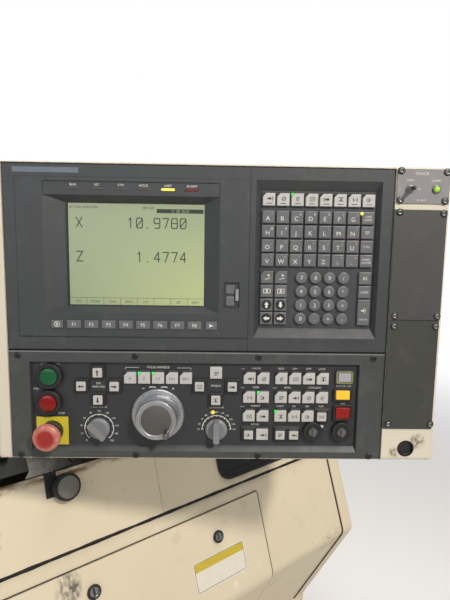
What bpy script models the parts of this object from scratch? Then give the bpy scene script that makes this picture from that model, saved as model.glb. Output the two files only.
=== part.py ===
"""A slant-bed turning lathe with its operator panel on a swivelling arm.

Metres, +Z up. X runs along the spindle, the operator stands on the -Y side, and the origin is on the
floor under the middle of the bed.
"""
import math

import bmesh
import bpy
from mathutils import Matrix, Vector

# Clearances and small finishes that the whole machine shares.
SEAT_GAP = 0.0003
RUNNING_GAP = 0.0006
PANEL_GAP = 0.0008
CUT_OVERRUN = 0.004
SHEET = 0.003
WELD_DISTANCE = 0.00001
MERGE_DISTANCE = 0.00005
SMOOTH_ANGLE = math.radians(40)

# Which way a flat outline is laid out in space.
FACING_FRONT = (math.pi / 2, 0, 0)
ALONG_X = (math.pi / 2, 0, math.pi / 2)
FACING_UP = (0, 0, 0)

# The machine's overall sizes. X places along it are shares of its length.
MACHINE_LENGTH = 2.30
END_CAP_WIDTH = 0.05
ROOF_HEIGHT = 1.60
REAR_DEPTH = 0.46
FOLD_DEPTH = 0.60
FOLD_HEIGHT = 0.86
LEAN = 0.35
KNEE_OUT = 0.083
KNEE_BELOW_FOLD = 0.245
KNEE_HEIGHT = FOLD_HEIGHT - KNEE_BELOW_FOLD
KNEE_RADIUS = 0.035
TUCK_IN = 0.19
SKIRT_HEIGHT = 0.27
PLINTH_HEIGHT = 0.05
SILL_ABOVE_FOLD = 0.149
SILL_HEIGHT = FOLD_HEIGHT + SILL_ABOVE_FOLD
OPENING_SHARES = (-0.1435, 0.2174)
OPENING_LEFT, OPENING_RIGHT = (MACHINE_LENGTH * share for share in OPENING_SHARES)
COVER_GAP = 0.0006
WALL = 0.006
HALF_LENGTH = MACHINE_LENGTH / 2
INNER_HALF = HALF_LENGTH - END_CAP_WIDTH

# The front above and below the fold leans back by this slope.
LEAN_ANGLE = math.atan(LEAN)
SLOPE = (FACING_FRONT[0] - LEAN_ANGLE, 0, 0)
TILT_GROWTH = math.hypot(1, LEAN)

# Colours and roughness of the machine.
CREAM = ("D6CBAA", 0.42)
CREAM_SHADE = ("CFC3A1", 0.45)
CASTING_GREY = ("8C8F8B", 0.6)
BLACK_RUBBER = ("1E1E1D", 0.8)
STEEL = ("A9ACAE", 0.3, 1.0)
DARK_STEEL = ("5B5D5F", 0.4, 1.0)
SMOKED = ("23282B", 0.15)

# Access cover in the front apron, and its two quarter-turn studs.
COVER_SHARES = (-0.2696, 0.3439)
COVER_LEFT, COVER_RIGHT = (MACHINE_LENGTH * share for share in COVER_SHARES)
COVER_BELOW_FOLD = 0.038
COVER_ABOVE_SKIRT = 0.03
COVER_TOP = FOLD_HEIGHT - COVER_BELOW_FOLD
COVER_BOTTOM = SKIRT_HEIGHT + COVER_ABOVE_SKIRT
COVER_THICK = 0.0035
QUARTER_TURN_SHARES = (0.1352, 0.2778)
QUARTER_TURN_DROPS = (0.088, 0.096)
QUARTER_TURN_PLACES = [(MACHINE_LENGTH * share, FOLD_HEIGHT - drop)
                       for share, drop in zip(QUARTER_TURN_SHARES, QUARTER_TURN_DROPS)]
QUARTER_TURN_RADIUS = 0.0145
QUARTER_TURN_HEAD = 0.004
QUARTER_TURN_STEM = 0.007
QUARTER_TURN_REACH = 0.0032
QUARTER_TURN_SLOT = 0.003
QUARTER_TURN_DIMPLE = 0.010
QUARTER_TURN_FACE_SHARE = 0.9
STUD_SLOT_LENGTH_SHARE = 1.6
STUD_SLOT_DEPTH_SHARE = 0.6
FASTENER_TURN = (FACING_FRONT[0] - LEAN_ANGLE, 0, 0)

# End caps, sill and the window in the fixed guard.
END_CAP_ROUND = 0.012
SILL_LIP = 0.016
WINDOW_SHARES = (0.2943, 0.4543)
WINDOW_LEFT, WINDOW_RIGHT = (MACHINE_LENGTH * share for share in WINDOW_SHARES)
WINDOW_ABOVE_FOLD = 0.019
WINDOW_BELOW_ROOF = 0.18
WINDOW_LOW = FOLD_HEIGHT + WINDOW_ABOVE_FOLD
WINDOW_HIGH = ROOF_HEIGHT - WINDOW_BELOW_ROOF
WINDOW_RADIUS = 0.035
WINDOW_RIM = 0.018
WINDOW_RIM_PROUD = 0.006

# Sliding door, its grip and its rail.
DOOR_SETBACK = 0.024
DOOR_THICK = 0.018
DOOR_OVERLAP = 0.03
TRAVEL_SHARE = 0.891
DOOR_TRAVEL = TRAVEL_SHARE * (OPENING_RIGHT - OPENING_LEFT)
DOOR_CLEARANCE = 0.006
DOOR_BELOW_ROOF = 0.025
DOOR_LOW = SILL_HEIGHT + DOOR_CLEARANCE
DOOR_HIGH = ROOF_HEIGHT - DOOR_BELOW_ROOF
DOOR_MARGIN_SHARE = 0.2321
DOOR_WINDOW_MARGIN = DOOR_MARGIN_SHARE * (DOOR_HIGH - DOOR_LOW)
LEFT_GUARD_SETBACK = 0.05
HANDLE_WIDTH = 0.022
HANDLE_LENGTH = 0.20
HANDLE_PROUD = 0.040
HANDLE_BAR = 0.012
RAIL_HEIGHT = 0.014
RAIL_DEPTH = 0.012

# Rubber stop for the door.
BUMPER_RADIUS = 0.028
BUMPER_LENGTH = 0.034
BUMPER_EDGE_SHARE = 0.86
BUMPER_WAIST_SHARE = 0.8
BUMPER_WAIST_END_SHARES = (0.3, 0.45)
BUMPER_FOOT_SHARE = 0.9
BUMPER_SHARE = 0.1213
BUMPER_X = MACHINE_LENGTH * BUMPER_SHARE
BUMPER_BELOW_SILL = 0.024
BUMPER_HEIGHT = SILL_HEIGHT - BUMPER_BELOW_SILL

# Spindle axis, and the slanted bed below it.
SPINDLE_Y = -0.06
SPINDLE_ABOVE_FOLD = 0.24
SPINDLE_Z = FOLD_HEIGHT + SPINDLE_ABOVE_FOLD
BED_DROP = 0.20
BED_LOW = 0.30
BED_HIGH = 0.36
BED_THICK = 0.12
BED_SLANT = math.radians(45)
BED_SHARES = (-0.413, 0.426)
BED_LEFT, BED_RIGHT = (MACHINE_LENGTH * share for share in BED_SHARES)
WAY_WIDTH = 0.045
WAY_HEIGHT = 0.040

# Base casting.
BASE_TOP_FRONT = 0.40
BASE_TOP_REAR = 0.70
BASE_FRONT = 0.47
CASTING_WALL = 0.03
POCKET_SHARES = (0.8, 0.8, 0.8, 0.8)

# Headstock, spindle, chuck and jaws.
HEAD_SHARES = (-0.3913, -0.20435)
HEAD_LEFT, HEAD_RIGHT = (MACHINE_LENGTH * share for share in HEAD_SHARES)
HEAD_LOW = 0.17
HEAD_SHOULDER_SHARE = 0.8
HEAD_HIGH = 0.19
NOSE_RADIUS = 0.085
SPINDLE_RADIUS = 0.055
NOSE_LENGTH = 0.035
DRAW_RADIUS = 0.031
SPINDLE_TAIL = 0.03
CHUCK_RADIUS = 0.105
CHUCK_LENGTH = 0.085
CHUCK_CHAMFER = 0.006
AXIS_RIGHT = (0, math.pi / 2, 0)
SPINDLE_SIDES = 32
JAW_ANGLES = tuple(math.radians(a) for a in (90, 210, 330))
JAW_WIDTH = 0.030
JAW_FOOT_SHARE = 0.6
JAW_ROOT = 0.018
JAW_STEP = 0.016
JAW_LENGTH = 0.056
JAW_INNER = 0.034
JAW_HEIGHT = 0.045
JAW_STEP_SHARES = (0.66, 0.33)

# Saddle, cross slide and turret.
CARRIAGE_SHARE = 0.0087
CARRIAGE_LEFT = MACHINE_LENGTH * CARRIAGE_SHARE
CARRIAGE_WIDTH = 0.30
CARRIAGE_THICK = 0.060
GUIDE_WIDTH = 0.20
GUIDE_HEIGHT = 0.030
CROSS_LENGTH = 0.26
CROSS_THICK = 0.055
CROSS_HOME = 0.12
TURRET_HOME = 0.335
TURRET_RADIUS = 0.110
TURRET_THICK = 0.085
TOOL_BLOCK_SHARE = 0.7
TOOL_BLOCK_PLACE_SHARE = 0.55
TURRET_SIDES = 12
TURRET_BOX = 0.17
TURRET_SHOULDER_SHARE = 0.8
TURRET_CHAMFER_SHARE = 0.4
TOOL_BLOCK = 0.030
TOOL_PROUD = 0.026
TOOL_COUNT = 6

# Tailstock, quill and centre.
TAIL_SHARE = 0.2435
TAIL_LEFT = MACHINE_LENGTH * TAIL_SHARE
TAIL_LENGTH = 0.26
TAIL_HALF = 0.075
QUILL_RADIUS = 0.036
QUILL_PROUD = 0.05
CENTRE_RADIUS = 0.024
CENTRE_SHANK_SHARE = 0.6
CENTRE_COLLAR_SHARE = 0.8
CENTRE_ANGLE = math.radians(60)
CENTRE_POINT = 0.05
QUILL_REACH = 0.20

# Feed screw and chip trough.
SCREW_RADIUS = 0.012
SCREW_BLOCK = 0.030
SCREW_BLOCK_LENGTH = 0.05
TRAY_TOP = 0.62
TRAY_WALL = 0.004

# Electrical cabinet, its door and main switch.
CABINET_SHARES = (-0.2696, 0.2696)
CABINET_LEFT, CABINET_RIGHT = (MACHINE_LENGTH * share for share in CABINET_SHARES)
CABINET_BELOW_ROOF = 0.08
CABINET_LOW = 0.34
CABINET_HIGH = ROOF_HEIGHT - CABINET_BELOW_ROOF
CABINET_DEPTH = 0.24
CABINET_WALL = 0.012
DOOR_SHEET = 0.018
SWITCH_STEM = 0.008
SWITCH_IN = 0.09
SWITCH_UP = 0.38
SWITCH_RADIUS = 0.032
SWITCH_PROUD = 0.012
SWITCH_GRIP = 0.026
SWITCH_BAR = 0.014
SWITCH_BAR_SHARE = 0.9

# Operator panel: where it hangs and its size. Places on its front are metres from its left edge
# and down from its top edge.
PIVOT_SHARE = 0.24783
PIVOT_X = MACHINE_LENGTH * PIVOT_SHARE
PIVOT_Y = -0.8354
PANEL_CENTRE_HEIGHT = 1.388
PANEL_TURN = math.radians(-38)
PIVOT_BEHIND = 0.20
PIVOT_SIDE = 0.078
PANEL_WIDTH = 0.683
PANEL_HEIGHT = 0.454
PANEL_DEPTH = 0.15
PANEL_ROUND = 0.006
PANEL_LIP = 0.0015
FACE_LEFT = 0.0217
FACE_RIGHT = 0.5996
FACE_TOP = 0.003
FACE_BOTTOM = 0.452
SEAM_DOWN = 0.281
SEAM_WIDTH = 0.0012
FASCIA_THICK = 0.026
FASCIA_ROUND = 0.002

# Colours and roughness of the panel.
FASCIA_GREY = ("4A4D4F", 0.5)
LOWER_GREY = ("4C4E4E", 0.5)
KEY_GREY = ("727375", 0.5)
PANEL_CREAM = ("E0D2B2", 0.4)
BLACK = ("18191A", 0.4)

# Panel housing, hinge sleeve and arm.
COLUMN_HOLE = (0.6385, 0.433)
COLUMN_HOLE_RADIUS = 0.012
COLUMN_HOLE_DEPTH = 0.03
SLEEVE_RADIUS = 0.030
SLEEVE_HEIGHT = 0.09
HINGE_WEB_SHARE = 1.6
PIN_RADIUS = 0.018
PIN_PROUD = 0.008
ARM_SIZE = 0.040
ARM_PLATE = 0.020
ARM_PLATE_WIDTH = 0.11
ARM_PLATE_LENGTH = 0.16
REAR_COVER_MARGIN = 0.03
REAR_COVER_THICK = 0.002

# Upper fascia: display, soft keys and catch.
SCREEN_MOUTH = (0.080, 0.341, 0.048, 0.222)
SCREEN_FLOOR = (0.110, 0.318, 0.058, 0.213)
SCREEN_DEPTH = 0.012
SCREEN_THICK = 0.004
LAMP_STRIP = (0.081, 0.341, 0.028, 0.047)
LAMP_STRIP_DEPTH = 0.0015
SOFT_KEY_TOP = 0.234
SOFT_KEY_HEIGHT = 0.012
SOFT_KEY_WIDTH = 0.021
SOFT_KEY_FIRST = 0.123
SOFT_KEY_PITCH = 0.0259
SOFT_KEY_COUNT = 8
END_KEY_WIDTH = 0.017
END_KEY_STEP = 0.0255
KEY_PROUD = 0.0018
LATCH_WINDOW = (0.348, 0.372, 0.173, 0.212)
LATCH_DEPTH = 0.006

# Keyboard.
BOARD_MOUTH = (0.394, 0.581, 0.022, 0.258)
BOARD_FLOOR = (0.402, 0.575, 0.036, 0.244)
BOARD_DEPTH = 0.009
LATCH_PAD_SHARES = (0.16, 0.58)
LATCH_PAD_SIDE_SHARES = (0.2, 0.65)
LATCH_PAD_TALL_SHARE = 0.3
LATCH_LEVER_SHARES = (0.74, 0.88, 0.28, 0.72)
LATCH_ROOT_SHARE = 0.7
BOARD_THICK = 0.003
BOARD_KEY = 0.0187
BOARD_PITCH = 0.02135
BOARD_FIRST = 0.4135
BOARD_KEY_PROUD = 0.004
MODE_ROW = 0.0495
LETTER_ROW = 0.0752
LETTER_ROWS = 4
BOARD_COLUMNS = 8
NUMBER_ROW = 0.1655
NUMBER_PITCH = 0.0210
NUMBER_ROWS = 4
NUMBER_FIRST = 0.466
NUMBER_COLUMNS = 4
ROUND_KEY = 0.00875
ARROW_COLUMNS = 2
ROUND_SIDES = 14

# Lower fascia: its well, and where its keys and controls stand.
WELL = (0.053, 0.560, 0.299, 0.441)
WELL_FLOOR_INSET = 0.002
WELL_BEVEL = 0.008
WELL_DEPTH = 0.006
START_PLACE = (0.083, 0.321)
STOP_PLACE = (0.081, 0.363)
ESTOP_PLACE = (0.084, 0.410)
FEED_PLACE = (0.156, 0.406)
WHEEL_PLACE = (0.2485, 0.3815)
OVERRIDE_PLACE = (0.3395, 0.4065)
KEY_SWITCH_PLACES = ((0.491, 0.407), (0.536, 0.407))
AXIS_KEYS_PLACE = (0.156, 0.337)
SPINDLE_KEYS_PLACE = (0.338, 0.336)
CROSS_PITCH = 0.0235
CROSS_KEY_SHARES = ((0, -0.92), (-1.08, 0), (1.08, 0), (0, 0.92))
BEZEL_KEY = 0.022
BEZEL_PROUD = 0.004
CAP_KEY = 0.014
CAP_PROUD = 0.007
LIGHT_KEY = 0.0185
PULSE_FIRST = 0.2055
PULSE_PITCH = 0.0215
PULSE_DOWN = 0.3205
PULSE_COUNT = 5
BLOCK_FIRST = 0.390
BLOCK_PITCH = 0.0215
BLOCK_GAP = 0.0065
BLOCK_DOWN = 0.320
BLOCK_STEP = 0.030
BLOCK_COLUMNS = 6
BLOCK_ROWS = 3
RESET_PLACE = (0.538, 0.320)
YELLOW_PLACE = (0.5364, 0.348)
RED_PLACE = (0.5373, 0.3773)
RESET_SIZE = (0.020, 0.014)
YELLOW_SIZE = (0.021, 0.014)
RED_SIZE = (0.022, 0.018)
FRAME_RIM = 0.004
BUTTON_RADIUS = 0.013
BUTTON_CROWN_SHARE = 0.72
BUTTON_COLLAR = 0.0195
COLLAR_PROUD = 0.010
BUTTON_PROUD = 0.014
PUSH_TRAVEL = 0.003
KNOB_SHAFT = 0.005
SWITCH_BEZEL = 0.015
SWITCH_BEZEL_PROUD = 0.008
SWITCH_BARREL = 0.009
BARREL_FACE_SHARE = 0.9

# Emergency stop.
ESTOP_STEM = 0.0085
ESTOP_PLATE = (0.049, 0.045)
ESTOP_PLATE_THICK = 0.0015
ESTOP_COLLAR = 0.0165
ESTOP_COLLAR_TIP_SHARE = 0.92
ESTOP_COLLAR_PROUD = 0.012
ESTOP_RADIUS = 0.0205
ESTOP_DISH_SHARES = (0.45, 0.62, 0.86)
ESTOP_EDGE_SHARE = 0.7
ESTOP_BACK_SHARE = 0.94
ESTOP_HEAD = 0.013
ESTOP_PROUD = 0.036
ESTOP_TRAVEL = 0.005

# Pointer knobs and handwheel.
KNOB_RADIUS = 0.017
KNOB_CROWN_SHARE = 0.8
KNOB_BAR_END_SHARES = (-0.97, 1.02)
KNOB_BASE = 0.006
KNOB_PROUD = 0.020
KNOB_BAR = 0.0095
WHEEL_FLANGE = 0.041
WHEEL_FLANGE_PROUD = 0.008
WHEEL_BOSS = 0.030
WHEEL_BOSS_PROUD = 0.011
WHEEL_RADIUS = 0.031
WHEEL_RIM = 0.024
WHEEL_LOW = 0.0125
WHEEL_PROUD = 0.030
WHEEL_SHAFT = 0.005
CRANK_ORBIT = 0.0245
CRANK_ANGLE = math.radians(-49)
CRANK_RADIUS = 0.0048
CRANK_PIN = 0.002
CRANK_LENGTH = 0.018
CRANK_WAIST_SHARES = (0.7, 0.8, 0.95)
CRANK_ALONG_SHARES = (0.85, 0.4)

# Key switches.
KEY_BLADE = (0.003, 0.011)
KEY_BLADE_PROUD = 0.006

# Cover plates of the right column.
PLATES = (("column_plate_1", (0.601, 0.679, 0.003, 0.053), ("84828A", 0.5)),
          ("column_plate_2", (0.600, 0.678, 0.062, 0.2272), ("4E4E4B", 0.55)),
          ("column_plate_3", (0.600, 0.677, 0.2282, 0.400), ("3F403B", 0.55)))
PLATE_THICK = 0.0015
TOGGLE_PLACE = (0.620, 0.032)
TOGGLE_RADIUS = 0.0055
TOGGLE_PROUD = 0.013
LAMP_PLACE = (0.659, 0.032)
LAMP_RADIUS = 0.004
LAMP_PROUD = 0.003
FEED_TURN = math.radians(-45)


for old in list(bpy.data.objects):
    bpy.data.objects.remove(old, do_unlink=True)


def collection(name):
    made = bpy.data.collections.new(name)
    bpy.context.scene.collection.children.link(made)
    return made


LATHE = collection("turning_lathe")
CUTTERS = collection("cutters")


def srgb(hex_colour):
    """A hex colour as the linear values that the shader takes."""
    channels = [int(hex_colour[i:i + 2], 16) / 255 for i in (0, 2, 4)]
    linear = [c / 12.92 if c <= 0.04045 else ((c + 0.055) / 1.055) ** 2.4 for c in channels]
    return (*linear, 1.0)


def material(name, hex_colour, roughness=0.5, metallic=0.0):
    made = bpy.data.materials.new(name)
    made.use_nodes = True
    shader = made.node_tree.nodes["Principled BSDF"]
    shader.inputs["Base Color"].default_value = srgb(hex_colour)
    shader.inputs["Roughness"].default_value = roughness
    shader.inputs["Metallic"].default_value = metallic
    made.diffuse_color = srgb(hex_colour)
    return made


def link(obj, parent=None, group=None):
    (group or LATHE).objects.link(obj)
    if parent is not None:
        obj.parent = parent
    return obj


def empty(name, location=(0, 0, 0), rotation=(0, 0, 0), parent=None):
    made = bpy.data.objects.new(name, None)
    made.location = location
    made.rotation_euler = rotation
    return link(made, parent, CUTTERS)


def finish(obj, colour, smooth=False):
    """Gives the piece its own material, and soft shading where it is round."""
    obj.data.materials.clear()
    obj.data.materials.append(material(obj.name + "_finish", *colour))
    if smooth:
        obj.data.shade_smooth()
        obj.data.set_sharp_from_angle(angle=SMOOTH_ANGLE)
    return obj


def mesh_object(name, bm, location=(0, 0, 0), rotation=(0, 0, 0), parent=None, group=None):
    data = bpy.data.meshes.new(name)
    bm.to_mesh(data)
    bm.free()
    made = bpy.data.objects.new(name, data)
    made.location = location
    made.rotation_euler = rotation
    return link(made, parent, group)


def block(name, size, location=(0, 0, 0), rotation=(0, 0, 0), parent=None, group=None):
    """A box of the given size, centred on its location."""
    bm = bmesh.new()
    bmesh.ops.create_cube(bm, size=1)
    bmesh.ops.scale(bm, vec=size, verts=bm.verts)
    return mesh_object(name, bm, location, rotation, parent, group)


def rod(name, radius, length, location=(0, 0, 0), rotation=(0, 0, 0), parent=None, group=None,
        sides=24, tip_radius=None):
    """A cylinder, or a cone, along its own Z axis and centred on its location."""
    bm = bmesh.new()
    bmesh.ops.create_cone(bm, cap_ends=True, segments=sides, radius1=radius,
                          radius2=radius if tip_radius is None else tip_radius, depth=length)
    return mesh_object(name, bm, location, rotation, parent, group)


def mesh_from(obj, name):
    """Turns a curve or a modified object into a welded mesh in the same place."""
    bpy.context.view_layer.update()
    evaluated = obj.evaluated_get(bpy.context.evaluated_depsgraph_get())
    data = bpy.data.meshes.new_from_object(evaluated)
    bm = bmesh.new()
    bm.from_mesh(data)
    bmesh.ops.remove_doubles(bm, verts=bm.verts, dist=WELD_DISTANCE)
    bmesh.ops.dissolve_degenerate(bm, edges=bm.edges, dist=WELD_DISTANCE)
    bmesh.ops.recalc_face_normals(bm, faces=bm.faces)
    bm.to_mesh(data)
    bm.free()
    made = bpy.data.objects.new(name, data)
    made.location = obj.location
    made.rotation_euler = obj.rotation_euler
    return made


def slab(name, outlines, thickness, location=(0, 0, 0), rotation=FACING_UP, parent=None, group=None):
    """A flat outline, with any holes as further outlines, drawn out to a thickness.

    The outline lies in the slab's own XY plane, and the thickness is centred on it.
    """
    curve = bpy.data.curves.new(name + "_outline", "CURVE")
    curve.dimensions = "2D"
    curve.fill_mode = "BOTH"
    curve.extrude = thickness / 2
    for outline in outlines:
        spline = curve.splines.new("POLY")
        spline.points.add(len(outline) - 1)
        for point, (x, y) in zip(spline.points, outline):
            point.co = (x, y, 0, 1)
        spline.use_cyclic_u = True
    drawn = bpy.data.objects.new(name + "_drawing", curve)
    drawn.location = location
    drawn.rotation_euler = rotation
    CUTTERS.objects.link(drawn)
    made = mesh_from(drawn, name)
    bpy.data.objects.remove(drawn, do_unlink=True)
    return link(made, parent, group)


def turned(name, profile, location=(0, 0, 0), rotation=(0, 0, 0), parent=None, group=None, steps=24):
    """A turned shape: the (radius, height) profile swept round the piece's own Z axis.

    The profile runs down the outer side, from top to bottom.
    """
    bm = bmesh.new()
    points = [bm.verts.new((radius, 0, height)) for radius, height in profile]
    for first, second in zip(points, points[1:]):
        bm.edges.new((first, second))
    made = mesh_object(name, bm, location, rotation, parent, group)
    screw = made.modifiers.new("turn", "SCREW")
    screw.steps = screw.render_steps = steps
    screw.use_merge_vertices = True
    screw.merge_threshold = MERGE_DISTANCE
    return made


def rounded(obj, width, segments=2, angle=math.radians(50)):
    bevel = obj.modifiers.new("rounded_edges", "BEVEL")
    bevel.width = width
    bevel.segments = segments
    bevel.limit_method = "ANGLE"
    bevel.angle_limit = angle
    return obj


def combine(target, tool, operation):
    """Cuts the tool from the target, or joins it on."""
    tool.hide_render = True
    tool.display_type = "WIRE"
    if tool.name not in CUTTERS.objects:
        CUTTERS.objects.link(tool)
        LATHE.objects.unlink(tool)
    change = target.modifiers.new(tool.name, "BOOLEAN")
    change.object = tool
    change.operation = operation
    change.solver = "EXACT"
    change.use_self = False
    return target


def cut(target, tool):
    return combine(target, tool, "DIFFERENCE")


def join(target, tool):
    return combine(target, tool, "UNION")


def gather(name, pieces):
    """Joins loose solids that do not touch into one mesh, to be used as one tool."""
    bm = bmesh.new()
    for piece in pieces:
        bpy.context.view_layer.update()
        data = bpy.data.meshes.new_from_object(piece.evaluated_get(bpy.context.evaluated_depsgraph_get()))
        data.transform(piece.matrix_local)
        bm.from_mesh(data)
        bpy.data.meshes.remove(data)
    parent = pieces[0].parent
    for piece in pieces:
        bpy.data.objects.remove(piece, do_unlink=True)
    return mesh_object(name, bm, parent=parent, group=CUTTERS)


def rectangle(left, right, low, high):
    return [(left, low), (right, low), (right, high), (left, high)]


def arc(centre, radius, start, end, count):
    """Points along an arc, from the start angle to the end angle in degrees."""
    angles = [math.radians(start + (end - start) * i / count) for i in range(count + 1)]
    return [(centre[0] + radius * math.cos(a), centre[1] + radius * math.sin(a)) for a in angles]


def soft_rectangle(left, right, low, high, radius, count=3):
    corners = (((right - radius, low + radius), -90), ((right - radius, high - radius), 0),
               ((left + radius, high - radius), 90), ((left + radius, low + radius), 180))
    return [p for centre, start in corners for p in arc(centre, radius, start, start + 90, count)]


def circle(radius, count, centre=(0, 0)):
    return arc(centre, radius, 0, 360 - 360 / count, count - 1)


def front_y(height, inward=0.0):
    """The leaning front plane at a height, set back by a thickness."""
    return -FOLD_DEPTH + LEAN * (height - FOLD_HEIGHT) + inward * TILT_GROWTH


def slope_length(low, high):
    return (high - low) * TILT_GROWTH


def sloped_panel(name, outlines, base_height, inward, parent=None, thickness=SHEET, left=0.0):
    """A sheet on the leaning front: local x along the machine, local y up the slope from a height."""
    middle = inward + thickness / 2
    place = (left, front_y(base_height) + middle * math.cos(LEAN_ANGLE),
             base_height - middle * math.sin(LEAN_ANGLE))
    return slab(name, outlines, thickness, place, SLOPE, parent)


def body_profile(offset=0.0, top=FOLD_HEIGHT, bottom=PLINTH_HEIGHT):
    """The front of the lower body from the top fold, round the knee and down to the plinth.

    Each point is (y, z). The offset moves the whole line inward.
    """
    knee_y = -FOLD_DEPTH - KNEE_OUT
    tuck_y = knee_y + TUCK_IN
    upper = Vector((knee_y + LEAN * (top - KNEE_HEIGHT), top))
    knee = Vector((knee_y, KNEE_HEIGHT))
    tuck = Vector((tuck_y, SKIRT_HEIGHT))
    up, down = (upper - knee).normalized(), (tuck - knee).normalized()
    half = up.angle(down) / 2
    inward = (up + down).normalized()
    centre = knee + inward * (KNEE_RADIUS / math.sin(half))
    spread = math.degrees(math.pi / 2 - half)
    mid_angle = math.degrees(math.atan2(-inward.y, -inward.x)) % 360
    bend = arc(centre, KNEE_RADIUS - offset, mid_angle - spread, mid_angle + spread, 5)
    down_normal = Vector((-down.y, down.x))
    if down_normal.x < 0:
        down_normal = -down_normal
    tuck_in = tuck + down_normal * offset
    return [(upper.x + offset * TILT_GROWTH, top), *bend, (tuck_in.x, tuck_in.y), (tuck_y + offset, bottom)]


def bent_sheet(name, profile, thickness_profile, left, right, parent=None):
    """A folded sheet: its outer line and its inner line closed into one outline, along X."""
    outline = profile + thickness_profile[::-1]
    return slab(name, [outline], right - left, ((left + right) / 2, 0, 0), ALONG_X, parent)


# Lower body.


def make_front_apron():
    """The folded sheet that wraps the base from the sill down to the plinth."""
    outer = body_profile(COVER_GAP + COVER_THICK)
    inner = body_profile(COVER_GAP + COVER_THICK + SHEET)
    apron = bent_sheet("front_apron", outer, inner, -INNER_HALF + SEAT_GAP, INNER_HALF - SEAT_GAP)
    return finish(apron, CREAM, smooth=True)


def cover_line(offset):
    """The access cover's run, cut from the same body line a little above the plinth."""
    line = body_profile(offset, COVER_TOP, COVER_BOTTOM)
    share = (COVER_BOTTOM - SKIRT_HEIGHT) / (line[-3][1] - SKIRT_HEIGHT)
    end = Vector(line[-2]).lerp(Vector(line[-3]), share)
    return [*line[:-2], (end.x, end.y)]


def make_access_cover():
    cover = bent_sheet("access_cover", cover_line(0), cover_line(COVER_THICK), COVER_LEFT, COVER_RIGHT)
    for x, height in QUARTER_TURN_PLACES:
        hole = rod("cover_hole", QUARTER_TURN_STEM + RUNNING_GAP, QUARTER_TURN_REACH * 2,
                   fastener_place(x, height), FASTENER_TURN, sides=16)
        cut(cover, hole)
    return finish(cover, CREAM_SHADE, smooth=True)


def fastener_place(x, height):
    return (x, front_y(height), height)


def make_quarter_turn(index, x, height):
    """A slotted quarter-turn stud: broad black rim, dished slotted middle and a stem through the cover."""
    dish = QUARTER_TURN_HEAD / 2
    profile = [(0, dish), (QUARTER_TURN_DIMPLE, dish), (QUARTER_TURN_DIMPLE, QUARTER_TURN_HEAD),
               (QUARTER_TURN_RADIUS * QUARTER_TURN_FACE_SHARE, QUARTER_TURN_HEAD),
               (QUARTER_TURN_RADIUS, dish), (QUARTER_TURN_RADIUS, SEAT_GAP),
               (QUARTER_TURN_STEM, SEAT_GAP), (QUARTER_TURN_STEM, -QUARTER_TURN_REACH),
               (0, -QUARTER_TURN_REACH)]
    stud = turned(f"quarter_turn_{index}", profile, fastener_place(x, height), FASTENER_TURN, steps=20)
    slot_size = (QUARTER_TURN_DIMPLE * STUD_SLOT_LENGTH_SHARE, QUARTER_TURN_SLOT,
                 QUARTER_TURN_HEAD * STUD_SLOT_DEPTH_SHARE)
    slot = block(f"stud_slot_{index}", slot_size, (0, 0, dish), parent=stud)
    cut(stud, slot)
    return finish(stud, DARK_STEEL, smooth=True)


def side_outline(inset=0.0):
    """The machine's end seen from the side, (y, z), from the roof down the front and up the back."""
    front = body_profile(inset)
    return [(front_y(ROOF_HEIGHT, inset), ROOF_HEIGHT), *front, (REAR_DEPTH - inset, PLINTH_HEIGHT),
            (REAR_DEPTH - inset, ROOF_HEIGHT)]


def make_end_cap(name, side):
    """A painted end casting that closes the whole end of the machine, its outer edges rounded."""
    place = (side * (HALF_LENGTH - END_CAP_WIDTH / 2), 0, 0)
    cap = slab(name, [side_outline()], END_CAP_WIDTH, place, ALONG_X)
    rounded(cap, END_CAP_ROUND, 3, math.radians(60))
    return finish(cap, CREAM, smooth=True)


def make_front_sill():
    """The fixed sheet under the door opening, with its top edge turned inward."""
    lip = front_y(SILL_HEIGHT)
    outline = [(front_y(FOLD_HEIGHT), FOLD_HEIGHT + PANEL_GAP), (lip, SILL_HEIGHT),
               (lip + SILL_LIP, SILL_HEIGHT), (lip + SILL_LIP, SILL_HEIGHT - SHEET),
               (lip + SHEET * TILT_GROWTH, SILL_HEIGHT - SHEET),
               (front_y(FOLD_HEIGHT, SHEET), FOLD_HEIGHT + PANEL_GAP)]
    left, right = -INNER_HALF + PANEL_GAP, OPENING_RIGHT - PANEL_GAP / 2
    sill = slab("front_sill", [outline], right - left, ((left + right) / 2, 0, 0), ALONG_X)
    return finish(sill, CREAM)


def on_slope(height, base):
    return slope_length(base, height)


def make_right_guard():
    """The fixed guard right of the door opening, with the hole for its window."""
    low, high = FOLD_HEIGHT + PANEL_GAP, ROOF_HEIGHT - PANEL_GAP
    outline = rectangle(OPENING_RIGHT + PANEL_GAP / 2, INNER_HALF - PANEL_GAP, 0, on_slope(high, low))
    lap = WINDOW_RIM / 2
    hole = soft_rectangle(WINDOW_LEFT + lap, WINDOW_RIGHT - lap, on_slope(WINDOW_LOW, low) + lap,
                          on_slope(WINDOW_HIGH, low) - lap, WINDOW_RADIUS - lap)
    return finish(sloped_panel("right_guard", [outline, hole], low, 0), CREAM)


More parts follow.
